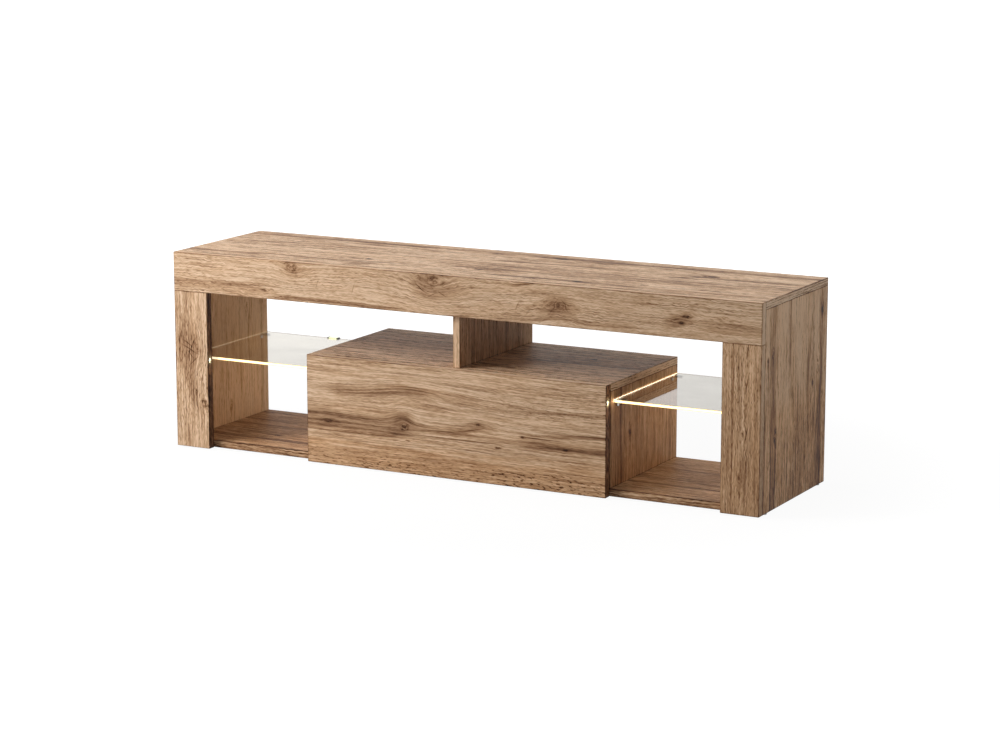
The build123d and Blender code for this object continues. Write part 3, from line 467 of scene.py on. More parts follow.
# what a board has where its own entry below says nothing else
plainBoard = {
    "sheen": 0.12, "wave": 0.5, "contrast": 1.0, "curl": 1.0, "shade": 0.0, "fine": 1.0, "endShading": 0.0,
    "bandLines": 0.10, "bandStep": 1180.0, "glueAndSeamShade": 1.0, "warm": 0.12, "dashed": 0.14,
    "wobble": (75, 130, 1), "ragged": (8, 85, 1), "bump": 0.15, "bumpStrength": 0.5, "swells": [],
    "shadeWarmth": [], "dashes": [],
}


def sumStreaks(tree, vector, edge, streaks, total):
    for start, end, centre, halfWidth, strength, slope in streaks:
        fade = min(streakEdge["longestFade"], streakEdge["fadeShare"] * (end - start))
        mask = useGroup(tree, streakGroup, Vector=vector, Edge=edge, Start=start, End=end, Centre=centre,
                        Slope=slope, Fade=fade, **{"Half width": halfWidth * mm})
        total = calc(tree, "MULTIPLY_ADD", mask[0], strength, total)
    return total


def oakBoard(node, board):
    board = {**plainBoard, **board}
    material, tree, shader = newMaterial("oak " + node, Specular_IOR_Level=board["sheen"])
    place = useGroup(tree, boardFrame, Shift=(0, board["shift"], board["seed"]), **lay[board["lay"]])
    vector = place["Vector"]
    wobble = swing(tree, vector, board["wobble"], detail=3.0, roughness=0.7)
    for along, across, reachAlong, reachAcross, lift in board["swells"]:
        vector = useGroup(tree, swellGroup, Vector=vector, Centre=(along, across, 0),
                          Reach=(reachAlong, reachAcross, 1), Lift=lift * mm)[0]
    knots, halos = 0.0, 0.0
    for along, across, core, bulge in board["knots"]:
        out = useGroup(tree, knotGroup, Vector=vector, Wobble=wobble, Centre=(along, across, 0),
                       Core=core * mm, Bulge=bulge * mm)
        vector = out["Vector"]
        knots = calc(tree, "MAXIMUM", knots, out["Core"])
        halos = calc(tree, "MAXIMUM", halos, out["Halo"])
    vector = useGroup(tree, grainWave, Vector=vector, Amount=board["wave"])[0]
    edge = swing(tree, vector, board["ragged"], detail=4.0, roughness=0.65)

    # the darkening towards one end along the grain is painted shade
    values = {name: board[name.lower()] for name in ("Contrast", "Curl", "Shade", "Fine")}
    # painted light and shade: a board's end faces are made lighter or darker by a set step; the sine bands on
    # them are the edge band's printed lines
    band = calc(tree, "SINE", calc(tree, "MULTIPLY", split(tree, place["Vector"])[1], board["bandStep"]))
    band = calc(tree, "MULTIPLY_ADD", band, board["bandLines"], board["endShading"])
    values["Tone"] = calc(tree, "MULTIPLY_ADD", place["On end"], band, board["tone"])
    # painted shade: on the boards that ask for it, faces that look towards +x, away from the key lamp, are
    # made darker
    if "paintedRightShade" in board:
        normal = addNode(tree, "ShaderNodeTexCoord").outputs["Normal"]
        facingRight = calc(tree, "GREATER_THAN", split(tree, normal)[0], facing)
        values["Tone"] = calc(tree, "MULTIPLY_ADD", facingRight, board["paintedRightShade"], values["Tone"])
    # the warmth streaks are painted shade: they warm and darken the colour where a board lies in shade
    for label, streaks, base in (("Streaks", "streaks", 0.0), ("Warm", "shadeWarmth", board["warm"]),
                                 ("Dashes", "dashes", board["dashed"])):
        values[label] = sumStreaks(tree, vector, edge, board[streaks], base)
    # the dark line along the board's edges: partly glue line, partly painted shade in the seams
    low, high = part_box(node)
    glueAndSeamShade = useGroup(tree, glueAndSeamShadeMask, Low=tuple(low), High=tuple(high))[0]
    values["Edge"] = calc(tree, "MULTIPLY", glueAndSeamShade, board["glueAndSeamShade"])
    grain = useGroup(tree, oakGrain, Vector=vector, Knots=knots, Halos=halos, **values)
    feed(tree, shader, Base_Color=grain["Color"], Roughness=grain["Roughness"])
    addBump(tree, shader, grain["Height"], board["bump"] * mm, board["bumpStrength"])
    paint(node, material)


# shift: brings the board's face to zero across the grain. seed: which stretch of the pattern it gets.
# swells: along, across, reach along, reach across, lift. knots: along, across, core, bulge.
# streaks, warmth and dashes: start, end, across, half width, strength, slope. The warmth is painted shade, a
# warmer, darker colour where a board lies in shade.
# a swell's lift, core, bulge and half width are in mm, every other length in metres
# each board's tone is partly painted light and shade, set board by board: paler where little light reaches
# it, darker where much does or where it lies in shade
boards = {
    "drop_flap": {
        "lay": "longFront", "shift": 0.176, "seed": 2.3, "wave": 0.2, "tone": 0.775, "contrast": 0.95,
        # painted shade: the flap's end faces are made much darker
        "curl": 0.5, "endShading": -0.34,
        "swells": [(-0.109, 0.180, 0.110, 0.030, 15), (-0.122, 0.124, 0.028, 0.018, 9),
                   (0.062, 0.126, 0.036, 0.018, 6), (0.220, 0.190, 0.160, 0.060, -6)],
        "knots": [(-0.117, 0.102, 2.8, 5.5), (0.060, 0.121, 1.5, 5), (0.108, 0.083, 2.2, 4),
                  (0.267, 0.095, 0.9, 3), (0.166, 0.112, 1.1, 3), (-0.106, 0.076, 2.0, 3),
                  (-0.306, 0.098, 1.2, 5)],
        "streaks": [(-0.42, -0.09, 0.102, 25, 0.78, 0), (-0.42, -0.16, 0.112, 2.0, 0.3, 0),
                    (-0.36, -0.14, 0.100, 1.6, 0.4, 0), (-0.42, -0.10, 0.080, 1.8, 0.5, 0),
                    (-0.34, -0.27, 0.096, 5, 0.4, 0), (-0.12, 0.05, 0.105, 9, 0.55, 0),
                    (-0.16, -0.06, 0.104, 14, 0.4, 0), (-0.10, 0.02, 0.100, 1.8, 0.7, 0.05),
                    (-0.03, 0.115, 0.103, 9, 0.62, 0.14), (0.01, 0.09, 0.106, 1.8, 0.6, 0.16),
                    (-0.145, -0.09, 0.117, 11, 0.35, 0), (-0.10, 0.12, 0.090, 1.8, 1.0, 0),
                    (0.00, 0.42, 0.098, 7, 0.35, 0), (0.14, 0.42, 0.101, 16, 0.62, 0),
                    (0.20, 0.42, 0.094, 1.8, 0.5, 0), (0.15, 0.27, 0.112, 1.5, 1.0, 0),
                    (0.22, 0.42, 0.120, 5, 0.95, 0.06), (0.19, 0.33, 0.097, 3, 0.3, 0),
                    (0.30, 0.42, 0.107, 1.5, 0.5, 0.03), (-0.32, -0.03, 0.168, 14, 0.6, 0),
                    (-0.30, -0.12, 0.163, 2.2, 0.3, 0), (-0.19, 0.02, 0.178, 1.8, 0.8, 0),
                    (-0.16, 0.00, 0.172, 1.5, 0.6, 0), (-0.04, 0.10, 0.184, 6, 0.4, -0.06),
                    (0.12, 0.42, 0.166, 3, 0.6, 0.05), (-0.42, -0.24, 0.208, 5, 0.35, 0.05),
                    # the last streak, a broad faint band along the foot of the flap, is painted shade
                    (-0.42, 0.42, 0.018, 40, 0.22, 0)],
        "shadeWarmth": [(-0.42, 0.42, 0.010, 56, 0.5, 0)],
        "dashes": [(-0.42, 0.42, 0.010, 34, 1.0, 0), (0.05, 0.42, 0.190, 40, 0.3, 0)],
    },
    "front_apron": {
        "lay": "longFront", "shift": 0.176, "seed": 5.1, "wave": 0.5, "tone": 0.805, "contrast": 1.0,
        "curl": 1.2, "endShading": 0.10,
        "swells": [(-0.045, 0.410, 0.070, 0.045, -16), (0.250, 0.375, 0.050, 0.030, 10),
                   (-0.390, 0.410, 0.040, 0.030, -8)],
        "knots": [(-0.395, 0.433, 4, 8), (-0.465, 0.373, 2.5, 4), (-0.045, 0.440, 3.5, 13),
                  (0.250, 0.390, 1.4, 12), (0.538, 0.398, 1.5, 5), (0.526, 0.386, 1.2, 4)],
        "streaks": [(-0.75, -0.44, 0.370, 12, 0.55, 0), (-0.46, -0.10, 0.357, 5, 0.9, 0),
                    (-0.12, 0.08, 0.357, 4, 0.35, 0), (-0.43, -0.36, 0.428, 12, 0.6, 0),
                    (0.13, 0.20, 0.430, 3.5, 0.9, 0.12), (0.20, 0.30, 0.388, 22, 0.75, 0),
                    (0.230, 0.250, 0.376, 2, 0.5, 1.2), (0.252, 0.272, 0.400, 2, 0.5, -1.0),
                    (0.48, 0.56, 0.372, 14, 0.85, 0.35), (0.54, 0.75, 0.378, 13, 0.6, 0),
                    (-0.12, 0.03, 0.424, 22, 0.6, 0), (-0.062, -0.034, 0.405, 1.4, 0.8, 0.7),
                    (-0.035, -0.012, 0.426, 1.4, 0.8, -0.7), (-0.335, -0.325, 0.380, 3, 0.7, 3.0),
                    (-0.245, -0.236, 0.376, 3, 0.7, 3.0), (0.148, 0.160, 0.378, 3, 0.7, 2.0),
                    (-0.092, -0.056, 0.432, 1.4, 0.7, -0.5), (0.05, 0.48, 0.362, 3, 0.4, 0)],
        "dashes": [(-0.75, 0.70, 0.395, 40, 0.34, 0)],
    },
    "top_panel": {
        "lay": "long", "shift": -0.439, "seed": 7.7, "sheen": 0.16, "wave": 0.3, "tone": 0.73,
        "contrast": 1.5, "fine": 1.35,
        "swells": [(0.45, 0.060, 0.060, 0.030, 8)],
        "knots": [(-0.532, 0.088, 5, 12), (0.488, 0.060, 6, 14), (0.010, -0.070, 6, 16),
                  (-0.270, -0.062, 4, 8), (0.265, -0.114, 5, 8), (0.160, -0.122, 5, 8), (0.402, -0.092, 4, 8),
                  (-0.060, 0.126, 5, 9), (0.105, 0.128, 5, 10)],
        "streaks": [(-0.75, -0.20, 0.133, 8, 1.2, 0), (-0.25, 0.10, 0.136, 7, 0.7, 0),
                    (0.00, 0.75, 0.132, 9, 1.0, 0), (-0.75, 0.10, 0.146, 3, 0.5, 0),
                    (-0.42, -0.28, 0.106, 9, 0.7, 0), (-0.04, 0.27, 0.046, 9, 1.0, 0.05),
                    (0.39, 0.50, 0.013, 7, 1.2, 0.5), (0.38, 0.50, 0.108, 5, 0.6, -0.45),
                    (-0.56, -0.21, -0.101, 5, 1.2, 0), (-0.75, -0.48, -0.114, 14, 0.9, 0),
                    (-0.30, -0.22, -0.128, 16, 0.9, 0), (0.02, 0.44, -0.115, 7, 1.1, 0),
                    (0.40, 0.75, -0.120, 9, 0.6, 0), (-0.50, -0.28, 0.046, 8, 0.6, 0),
                    (-0.68, -0.52, 0.044, 10, 0.5, 0), (-0.08, 0.12, -0.064, 8, 0.6, 0),
                    (-0.10, 0.75, -0.035, 44, 0.28, 0), (0.10, 0.75, 0.060, 26, 0.2, 0)],
        "endShading": 0.14, "bandLines": 0.2, "glueAndSeamShade": 1.5,
    },
    "front_post_left": {
        "lay": "post", "shift": 0.176, "seed": 11.2, "wave": 0.6, "tone": 0.785, "contrast": 1.1,
        # painted shade: the +x face of this post, in the bay, is made darker
        "paintedRightShade": -0.54,
        "swells": [(0.225, -0.655, 0.06, 0.03, 9), (0.150, -0.640, 0.04, 0.02, -6)],
        "knots": [(0.226, -0.648, 0.8, 7), (0.104, -0.624, 5.0, 7), (0.132, -0.642, 2, 3)],
        "streaks": [(0.16, 0.29, -0.664, 27, 0.85, 0), (0.08, 0.20, -0.640, 15, 0.75, -0.2),
                    (0.212, 0.236, -0.638, 3.2, 0.7, -1.9), (0.226, 0.246, -0.650, 2.4, 0.7, -1.4),
                    (0.204, 0.222, -0.652, 1.8, 0.8, -0.9), (0.216, 0.256, -0.664, 1.6, 0.8, 0.5),
                    (0.186, 0.210, -0.662, 1.6, 0.7, 0.9), (0.232, 0.270, -0.686, 1.6, 0.6, 0.2),
                    (0.00, 0.06, -0.662, 5, 0.6, 0), (0.20, 0.36, -0.682, 4, 0.3, 0),
                    (0.26, 0.36, -0.668, 2, 0.4, 0), (0.02, 0.12, -0.628, 2, 0.4, 0)],
        "dashes": [(0.0, 0.36, -0.655, 60, 0.45, 0)],
    },
    "front_post_right": {
        "lay": "post", "shift": 0.176, "seed": 13.9, "wave": 0.3, "tone": 0.79, "contrast": 1.0,
        "knots": [(0.078, 0.655, 2, 5), (0.170, 0.662, 2, 5)],
        "streaks": [(0.0, 0.36, 0.690, 6, 0.4, 0), (0.02, 0.14, 0.662, 8, 0.4, 0),
                    (0.155, 0.185, 0.663, 1.6, 1.1, 0.2), (0.255, 0.285, 0.665, 1.6, 1.1, 0.2),
                    (0.32, 0.352, 0.668, 1.6, 1.2, 0.1), (0.0, 0.36, 0.640, 3, 0.4, 0)],
        "shadeWarmth": [(-0.1, 0.45, 0.655, 60, 0.3, 0)],
        "dashes": [(-0.1, 0.45, 0.655, 60, 0.5, 0)],
        "shade": 0.15, "endShading": 0.06,
    },
    "side_panel_right": {
        "lay": "side", "shift": -0.700, "seed": 17.4, "wave": 0.3, "tone": 1.04, "contrast": 1.4, "fine": 1.4,
        "glueAndSeamShade": 1.7,
        "swells": [(0.300, -0.100, 0.09, 0.03, -6)],
        "knots": [(0.229, 0.098, 4, 9), (0.258, 0.124, 5, 11), (0.150, -0.097, 5, 10),
                  (0.102, -0.129, 3.5, 6), (0.318, -0.139, 4, 8), (0.328, -0.113, 4, 8), (0.379, 0.144, 4, 7),
                  (0.192, 0.148, 3, 5)],
        "streaks": [(0.27, 0.50, -0.112, 20, 0.9, 0), (0.12, 0.34, -0.107, 15, 1.1, 0),
                    (-0.05, 0.16, -0.109, 14, 0.9, 0), (-0.05, 0.16, -0.118, 2.5, 0.9, 0),
                    (-0.05, 0.15, -0.097, 2.5, 0.9, 0), (0.25, 0.50, -0.024, 6, 0.8, 0),
                    (0.24, 0.50, -0.036, 16, 0.6, 0), (0.20, 0.34, 0.080, 9, 0.9, 0),
                    (-0.05, 0.44, 0.137, 11, 1.1, 0), (0.10, 0.50, 0.168, 5, 0.8, 0),
                    (-0.05, 0.23, 0.030, 26, 0.5, 0), (0.10, 0.28, 0.020, 3.5, 0.7, 0),
                    (-0.05, 0.21, 0.110, 16, 0.6, 0), (-0.05, 0.30, -0.150, 8, 0.6, 0),
                    (0.30, 0.50, 0.060, 5, 0.5, 0), (0.08, 0.50, 0.084, 15, 0.5, 0),
                    (0.28, 0.50, 0.149, 8, 0.8, 0), (0.02, 0.30, 0.135, 13, 0.5, 0),
                    (0.28, 0.50, 0.110, 9, -0.5, 0), (0.26, 0.50, -0.071, 14, -0.45, 0)],
        "shadeWarmth": [(-0.2, 0.24, 0.0, 400, 0.7, 0), (0.19, 0.6, 0.0, 400, 0.42, 0)],
        "dashes": [(-0.1, 0.20, 0.060, 70, 0.5, 0)],
        "shade": 0.44,
    },
    "side_panel_left": {
        "lay": "side", "shift": 0.684, "seed": 21.8, "wave": 0.3, "tone": 0.93,
        "knots": [(0.275, 0.090, 4, 10), (0.060, 0.020, 4, 8)],
        "streaks": [(0.0, 0.45, -0.060, 8, 0.5, 0), (0.0, 0.45, 0.150, 7, 0.5, 0),
                    (0.05, 0.30, 0.060, 6, 0.5, 0), (0.20, 0.45, 0.100, 9, 0.5, 0)],
        "shadeWarmth": [(-0.2, 0.45, 0.0, 400, 0.5, 0)],
    },
    "box_partition_right": {
        "lay": "side", "shift": -0.359, "seed": 25.5, "wave": 0.3, "tone": 0.67, "contrast": 0.9,
        "knots": [(0.120, -0.060, 4, 9)],
        "streaks": [(-0.1, 0.34, -0.112, 20, 0.5, 0), (-0.1, 0.34, -0.100, 5, 0.4, 0),
                    (0.0, 0.24, 0.060, 6, 0.3, 0), (0.0, 0.24, 0.140, 7, 0.3, 0)],
        "shadeWarmth": [(-0.2, 0.45, 0.0, 400, 0.5, 0)],
    },
    "box_partition_left": {
        "lay": "side", "shift": 0.359, "seed": 28.1, "wave": 0.4, "tone": 0.66,
        "knots": [(0.150, 0.050, 4, 9)],
        "streaks": [(0.0, 0.24, -0.040, 8, 0.5, 0), (0.0, 0.24, 0.110, 6, 0.4, 0)],
    },
    "box_top_panel": {
        "lay": "long", "shift": -0.240, "seed": 31.6, "sheen": 0.24, "wave": 0.4, "tone": 0.71,
        "contrast": 1.7, "fine": 1.6, "endShading": 0.22, "bandLines": 0.16,
        "knots": [(-0.200, -0.020, 4, 9), (0.210, 0.060, 5, 10)],
        "streaks": [(-0.40, 0.0, -0.060, 8, 0.6, 0), (-0.30, 0.10, 0.050, 10, 0.5, 0),
                    (0.0, 0.40, -0.080, 7, 0.7, 0), (0.05, 0.40, 0.010, 9, 0.6, 0),
                    (-0.40, 0.40, 0.130, 8, 0.5, 0)],
        "shadeWarmth": [(-0.5, 0.5, 0.0, 400, 0.2, 0)],
    },
    "bottom_panel": {
        "lay": "long", "shift": -0.019, "seed": 35.2, "wave": 0.3, "tone": 0.62, "contrast": 1.3,
        "shade": 0.12,
        "knots": [(-0.520, -0.050, 5, 10), (0.560, 0.020, 5, 10)],
        "streaks": [(-0.75, -0.30, -0.090, 9, 0.6, 0), (-0.75, -0.35, 0.030, 10, 0.5, 0),
                    (0.30, 0.75, -0.070, 9, 0.7, 0), (0.40, 0.75, 0.060, 8, 0.6, 0),
                    (-0.75, 0.75, -0.150, 5, 0.4, 0)],
        "shadeWarmth": [(-0.8, 0.8, 0.0, 400, 0.3, 0)],
    },
    "centre_divider": {
        # painted shade: the divider's +x face is made darker
        "lay": "side", "shift": 0.0, "seed": 38.7, "wave": 0.4, "tone": 0.84, "paintedRightShade": -0.21,
        "knots": [(0.330, 0.020, 4, 8)],
        "streaks": [(0.2, 0.45, -0.090, 8, 0.6, 0), (0.2, 0.45, 0.060, 9, 0.5, 0)],
        "shadeWarmth": [(-0.2, 0.45, 0.0, 400, 0.2, 0)],
    },
}
for node, board in boards.items():
    oakBoard(node, board)
print("oak boards finished:", len(boards))


# metals, plastics and the other plain finishes

wearSpecks = {"finer": (11, 11, 11), "roughShare": 0.6, "bumpStrength": 0.4}


# faint clouds and specks in the colour and the gloss
def makeFineWear():
    tree, get, put = newGroup(
        "fineWear",
        {"Colour": ("c", (0.5, 0.5, 0.5, 1)), "Variation": ("f", 0.1), "Rough": ("f", 0.3),
         "Rough variation": ("f", 0.1), "Size": ("f", 40.0)},
        {"Color": ("c", None), "Roughness": ("f", None), "Height": ("f", None)},
    )
    size = get["Size"]
    point = vectorCalc(tree, "MULTIPLY", objectPoint(tree), join(tree, size, size, size))
    cloud = noise(tree, point, detail=3.0)
    speck = noise(tree, point, wearSpecks["finer"], detail=2.0)
    level = 1.0
    for part in (cloud, speck):
        level = calc(tree, "MULTIPLY_ADD", calc(tree, "SUBTRACT", part, 0.5), get["Variation"], level)
    grey = join(tree, level, level, level)
    plug(tree, mixColour(tree, 1.0, get["Colour"], grey, "MULTIPLY"), put["Color"])
    share = wearSpecks["roughShare"]
    both = calc(tree, "MULTIPLY_ADD", speck, share, calc(tree, "MULTIPLY", cloud, share))
    both = calc(tree, "SUBTRACT", both, share)
    plug(tree, calc(tree, "MULTIPLY_ADD", both, get["Rough variation"], get["Rough"]), put["Roughness"])
    plug(tree, speck, put["Height"])
    return tree


fineWear = makeFineWear()


def addWear(tree, shader, look):
    wear = useGroup(tree, fineWear, Colour=srgb(*look["colour"]), Variation=look["variation"],
                    Rough=look["rough"], Size=look["size"], **{"Rough variation": look["roughVariation"]})
    feed(tree, shader, Base_Color=wear["Color"], Roughness=wear["Roughness"])
    addBump(tree, shader, wear["Height"], look["bump"] * mm, wearSpecks["bumpStrength"])
    return wear


# size: clouds per metre. bump: depth in mm
finishes = {
    "beech dowel": {
        "colour": (206, 172, 128), "variation": 0.5, "rough": 0.65, "roughVariation": 0.2,
        "size": 130, "bump": 0.1, "nodes": ["dowels"],
    },
    "polished chrome": {
        "colour": (176, 175, 172), "variation": 0.08, "rough": 0.12, "roughVariation": 0.12,
        "size": 90, "bump": 0.01, "metallic": 1.0,
        "nodes": ["shelf_supports", "stay_pivot_pins", "stay_rod_left", "stay_rod_right"],
    },
    "zinc plated steel": {
        "colour": (186, 189, 190), "variation": 0.35, "rough": 0.34, "roughVariation": 0.3,
        "size": 160, "bump": 0.02, "metallic": 1.0,
        "nodes": ["cam_locks", "cam_bolts", "panel_screws", "hinge_base_leaves", "hinge_base_screws",
                  "stay_wall_plates", "stay_wall_screws", "latch_screws", "latch_spring", "hinge_flap_leaves",
                  "hinge_pins", "hinge_flap_screws", "stay_flap_brackets", "stay_bracket_screws",
                  "latch_strike_plate", "latch_strike_screw", "stay_brake_screw_left",
                  "stay_brake_screw_right"],
    },
    "dark magnet": {
        "colour": (92, 93, 96), "variation": 0.3, "rough": 0.4, "roughVariation": 0.3,
        "size": 260, "bump": 0.02, "metallic": 1.0, "nodes": ["latch_magnet"],
    },
    "clear soft pad": {
        "colour": (226, 228, 226), "variation": 0.1, "rough": 0.25, "roughVariation": 0.2,
        "size": 200, "bump": 0.01, "transmission": 0.6, "nodes": ["shelf_support_pads", "flap_bumpers"],
    },
    "grey plastic": {
        "colour": (120, 122, 124), "variation": 0.16, "rough": 0.48, "roughVariation": 0.2,
        "size": 300, "bump": 0.03,
        "nodes": ["latch_housing", "latch_plunger", "stay_block_left", "stay_block_right"],
    },
    "glide plastic": {
        "colour": (226, 223, 214), "variation": 0.3, "rough": 0.6, "roughVariation": 0.2,
        "size": 120, "bump": 0.05, "nodes": ["floor_glides"],
    },
}
for name, finish in finishes.items():
    material, tree, shader = newMaterial(name, Metallic=finish.get("metallic", 0.0),
                                         Transmission_Weight=finish.get("transmission", 0.0))
    addWear(tree, shader, finish)
    for node in finish["nodes"]:
        paint(node, material)

hardboard = {"dark": (112, 82, 56), "pale": (160, 124, 90), "fibres": (420, 420, 160), "clouds": (30, 30, 30),
             "fibreShare": 0.65, "tones": (0.32, 0.68), "rough": (0.2, 0.8, 0.62, 0.86), "bump": 0.2}


def makeHardboard():
    material, tree, shader = newMaterial("hardboard back")
    point = objectPoint(tree)
    fibre = noise(tree, point, hardboard["fibres"], detail=4.0, roughness=0.7)
    cloud = noise(tree, point, hardboard["clouds"], detail=3.0)
    share = hardboard["fibreShare"]
    tone = calc(tree, "MULTIPLY_ADD", cloud, 1 - share, calc(tree, "MULTIPLY", fibre, share))
    tone = ramp(tree, tone, *hardboard["tones"])
    feed(tree, shader, Base_Color=mixColour(tree, tone, srgb(*hardboard["dark"]), srgb(*hardboard["pale"])),
         Roughness=ramp(tree, fibre, *hardboard["rough"]))
    addBump(tree, shader, fibre, hardboard["bump"] * mm, 0.6)
    paint("box_back_panel", material)


makeHardboard()

latchSpring = {"travel": 2.0, "weld": 0.001}


# the spring shortens towards its fixed end as the plunger goes in; here it is one smooth-shaded mesh with its
# doubled points welded, fixed to the carcass
def makeLatchSpring():
    shape = bmesh.new()
    shape.from_mesh(nodes["latch_spring"].data)
    bmesh.ops.remove_doubles(shape, verts=shape.verts, dist=latchSpring["weld"] * mm)
    for face in shape.faces:
        face.smooth = True
    steel = nodes["latch_spring"].data.materials[0]
    spring = addObject("latch_spring_coil", finishMesh("latch_spring_coil", shape, [steel]))
    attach(spring, "carcass")
    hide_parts("latch_spring")
    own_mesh(spring)


makeLatchSpring()
print("metals, plastics and hardboard finished")


# glass shelves, each lit by a clip on its back edge

glass = {
    "bevel": 0.8, "tints": ((223, 217, 206), (233, 228, 217)), "shadowTint": (0.8, 0.8, 0.79, 1),
    "smear": (9, 14, 9), "smearTint": (0.35, 0.7), "smearRough": (0.35, 0.75, 0.0, 0.05),
    "edges": {"front": {"glow": 1.0, "rim": (255, 214, 136)}, "inner": {"glow": 4.2, "rim": (255, 244, 218)},
              "outer": {"glow": 0.5, "rim": (255, 236, 192)}, "back": {"glow": 0.1, "rim": (255, 236, 192)}},
    "edgeTints": ((120, 104, 70), (150, 132, 96)), "edgeHeart": (255, 248, 224), "heartShare": 0.15,
    "ripple": (55, 55, 55), "rippleShare": 0.3, "rimReach": (0.15, 0.95),
}


# for shadow rays the pane is plainly clear, so it shades what is under it only a little
def makeGlass():
    material, tree, shader = newMaterial("float glass", Transmission_Weight=1.0, IOR=1.5,
                                         Specular_IOR_Level=0.25)
    smear = noise(tree, objectPoint(tree), glass["smear"], detail=4.0, roughness=0.6)
    first, second = glass["tints"]
    share = ramp(tree, smear, *glass["smearTint"])
    feed(tree, shader, Base_Color=mixColour(tree, share, srgb(*first), srgb(*second)),
         Roughness=ramp(tree, smear, *glass["smearRough"]))
    clear = addNode(tree, "ShaderNodeBsdfTransparent")
    clear.inputs[0].default_value = glass["shadowTint"]
    isShadow = addNode(tree, "ShaderNodeLightPath").outputs["Is Shadow Ray"]
    mixShaders(tree, isShadow, shader.outputs[0], clear.outputs[0])
    return material


glassLow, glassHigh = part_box("glass_shelf_left")
glassMiddle, glassHalf = (glassLow[2] + glassHigh[2]) / 2, (glassHigh[2] - glassLow[2]) / 2


# the light that leaves an edge is palest at half its height
def makeLitEdge(name, edge):
    material, tree, shader = newMaterial(name, Roughness=0.4, Emission_Strength=edge["glow"],
                                         Specular_IOR_Level=0.1)
    point = objectPoint(tree)
    ripple = noise(tree, point, glass["ripple"], detail=2.0)
    first, second = glass["edgeTints"]
    fromMiddle = calc(tree, "DIVIDE", calc(tree, "SUBTRACT", split(tree, point)[2], glassMiddle), glassHalf)
    rim = calc(tree, "SUBTRACT", calc(tree, "ABSOLUTE", fromMiddle), glass["heartShare"])
    rim = calc(tree, "MULTIPLY_ADD", ripple, glass["rippleShare"], rim)
    rim = ramp(tree, rim, *glass["rimReach"])
    feed(tree, shader, Base_Color=mixColour(tree, ripple, srgb(*first), srgb(*second)),
         Emission_Color=mixColour(tree, rim, srgb(*glass["edgeHeart"]), srgb(*edge["rim"])))
    return material


glassMaterials = [makeGlass()]
glassMaterials += [makeLitEdge("lit edge " + side, edge) for side, edge in glass["edges"].items()]


def makeShelf(node):
    low, high = (Vector(corner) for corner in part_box(node))
    inner = 1 if low.x < 0 else -1
    sides = {(0, -1): "front", (inner, 0): "inner", (-inner, 0): "outer", (0, 1): "back"}
    order = {side: index for index, side in enumerate(glass["edges"], 1)}
    shape = bmesh.new()
    bmesh.ops.create_cube(shape, size=1.0)
    bmesh.ops.scale(shape, vec=high - low, verts=shape.verts)
    bmesh.ops.translate(shape, vec=(low + high) / 2, verts=shape.verts)
    for face in shape.faces:
        side = sides.get((round(face.normal.x), round(face.normal.y)))
        face.material_index = order.get(side, 0)
    bmesh.ops.bevel(shape, geom=shape.edges[:], offset=glass["bevel"] * mm, segments=2, profile=0.5,
                    affect="EDGES", material=-1)
    pane = addObject(node + "_glass", finishMesh(node + "_glass", shape, glassMaterials))
    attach(pane, "carcass")
    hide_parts(node)


makeShelf("glass_shelf_left")
makeShelf("glass_shelf_right")

clip = {
    "length": 28, "lit": 20, "fade": 1, "glow": (232, 240, 198), "litColour": (226, 232, 206),
    "body": {"colour": (96, 98, 92), "variation": 0.4, "rough": 0.32, "roughVariation": 0.2, "size": 240,
             "bump": 0.02},
    "lens": {"colour": (240, 238, 226), "glows": ((255, 236, 190), (255, 250, 226)), "strength": 3.0,
             "dots": (420, 420, 420)},
}


# a short light-guide clip with dark metal ends round each lens
def makeClips():
    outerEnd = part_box("led_clips")[1][0]
    material, tree, shader = newMaterial("clip body", Emission_Strength=1.0)
    wear = addWear(tree, shader, clip["body"])
    x = split(tree, objectPoint(tree))[0]
    clipMiddle = outerEnd - clip["length"] / 2 * mm
    fromMiddle = calc(tree, "SUBTRACT", calc(tree, "ABSOLUTE", x), clipMiddle)
    litEnd, fade = clip["lit"] / 2, clip["fade"]
    lit = ramp(tree, calc(tree, "ABSOLUTE", fromMiddle), (litEnd - fade) * mm, (litEnd + fade) * mm, 1.0, 0.0)
    feed(tree, shader, Base_Color=mixColour(tree, lit, wear["Color"], srgb(*clip["litColour"])),
         Emission_Color=mixColour(tree, lit, (0, 0, 0, 1), srgb(*clip["glow"])))
    paint("led_clips", material)

    look = clip["lens"]
    material, tree, shader = newMaterial("light lens", Roughness=0.3, Emission_Strength=look["strength"],
                                         Base_Color=srgb(*look["colour"]))
    dot = noise(tree, objectPoint(tree), look["dots"], detail=1.0)
    first, second = look["glows"]
    feed(tree, shader, Emission_Color=mixColour(tree, dot, srgb(*first), srgb(*second)))
    paint("led_lenses", material)


makeClips()

# lamps for what the lit edges and the clips throw on the boards, with places and sizes in mm
shelfLight = {
    "colour": (1.0, 0.84, 0.58), "spill": 0.045, "spillHeight": 4, "margin": 5, "forward": 2, "return": 1,
    "glint": 0.008, "glintColour": (0.48, 0.88, 1.0), "glintSize": 3, "glintOut": 3, "glintDeep": -168,
    "clipPower": {"glass_shelf_left": 0.22, "glass_shelf_right": 0.19}, "clipIn": 60, "clipUnder": 25,
    "clipRadius": 20,
}
bayEnds = {
    "glass_shelf_left": (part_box("front_post_left")[1][0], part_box("drop_flap")[0][0]),
    "glass_shelf_right": (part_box("drop_flap")[1][0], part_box("front_post_right")[0][0]),
}


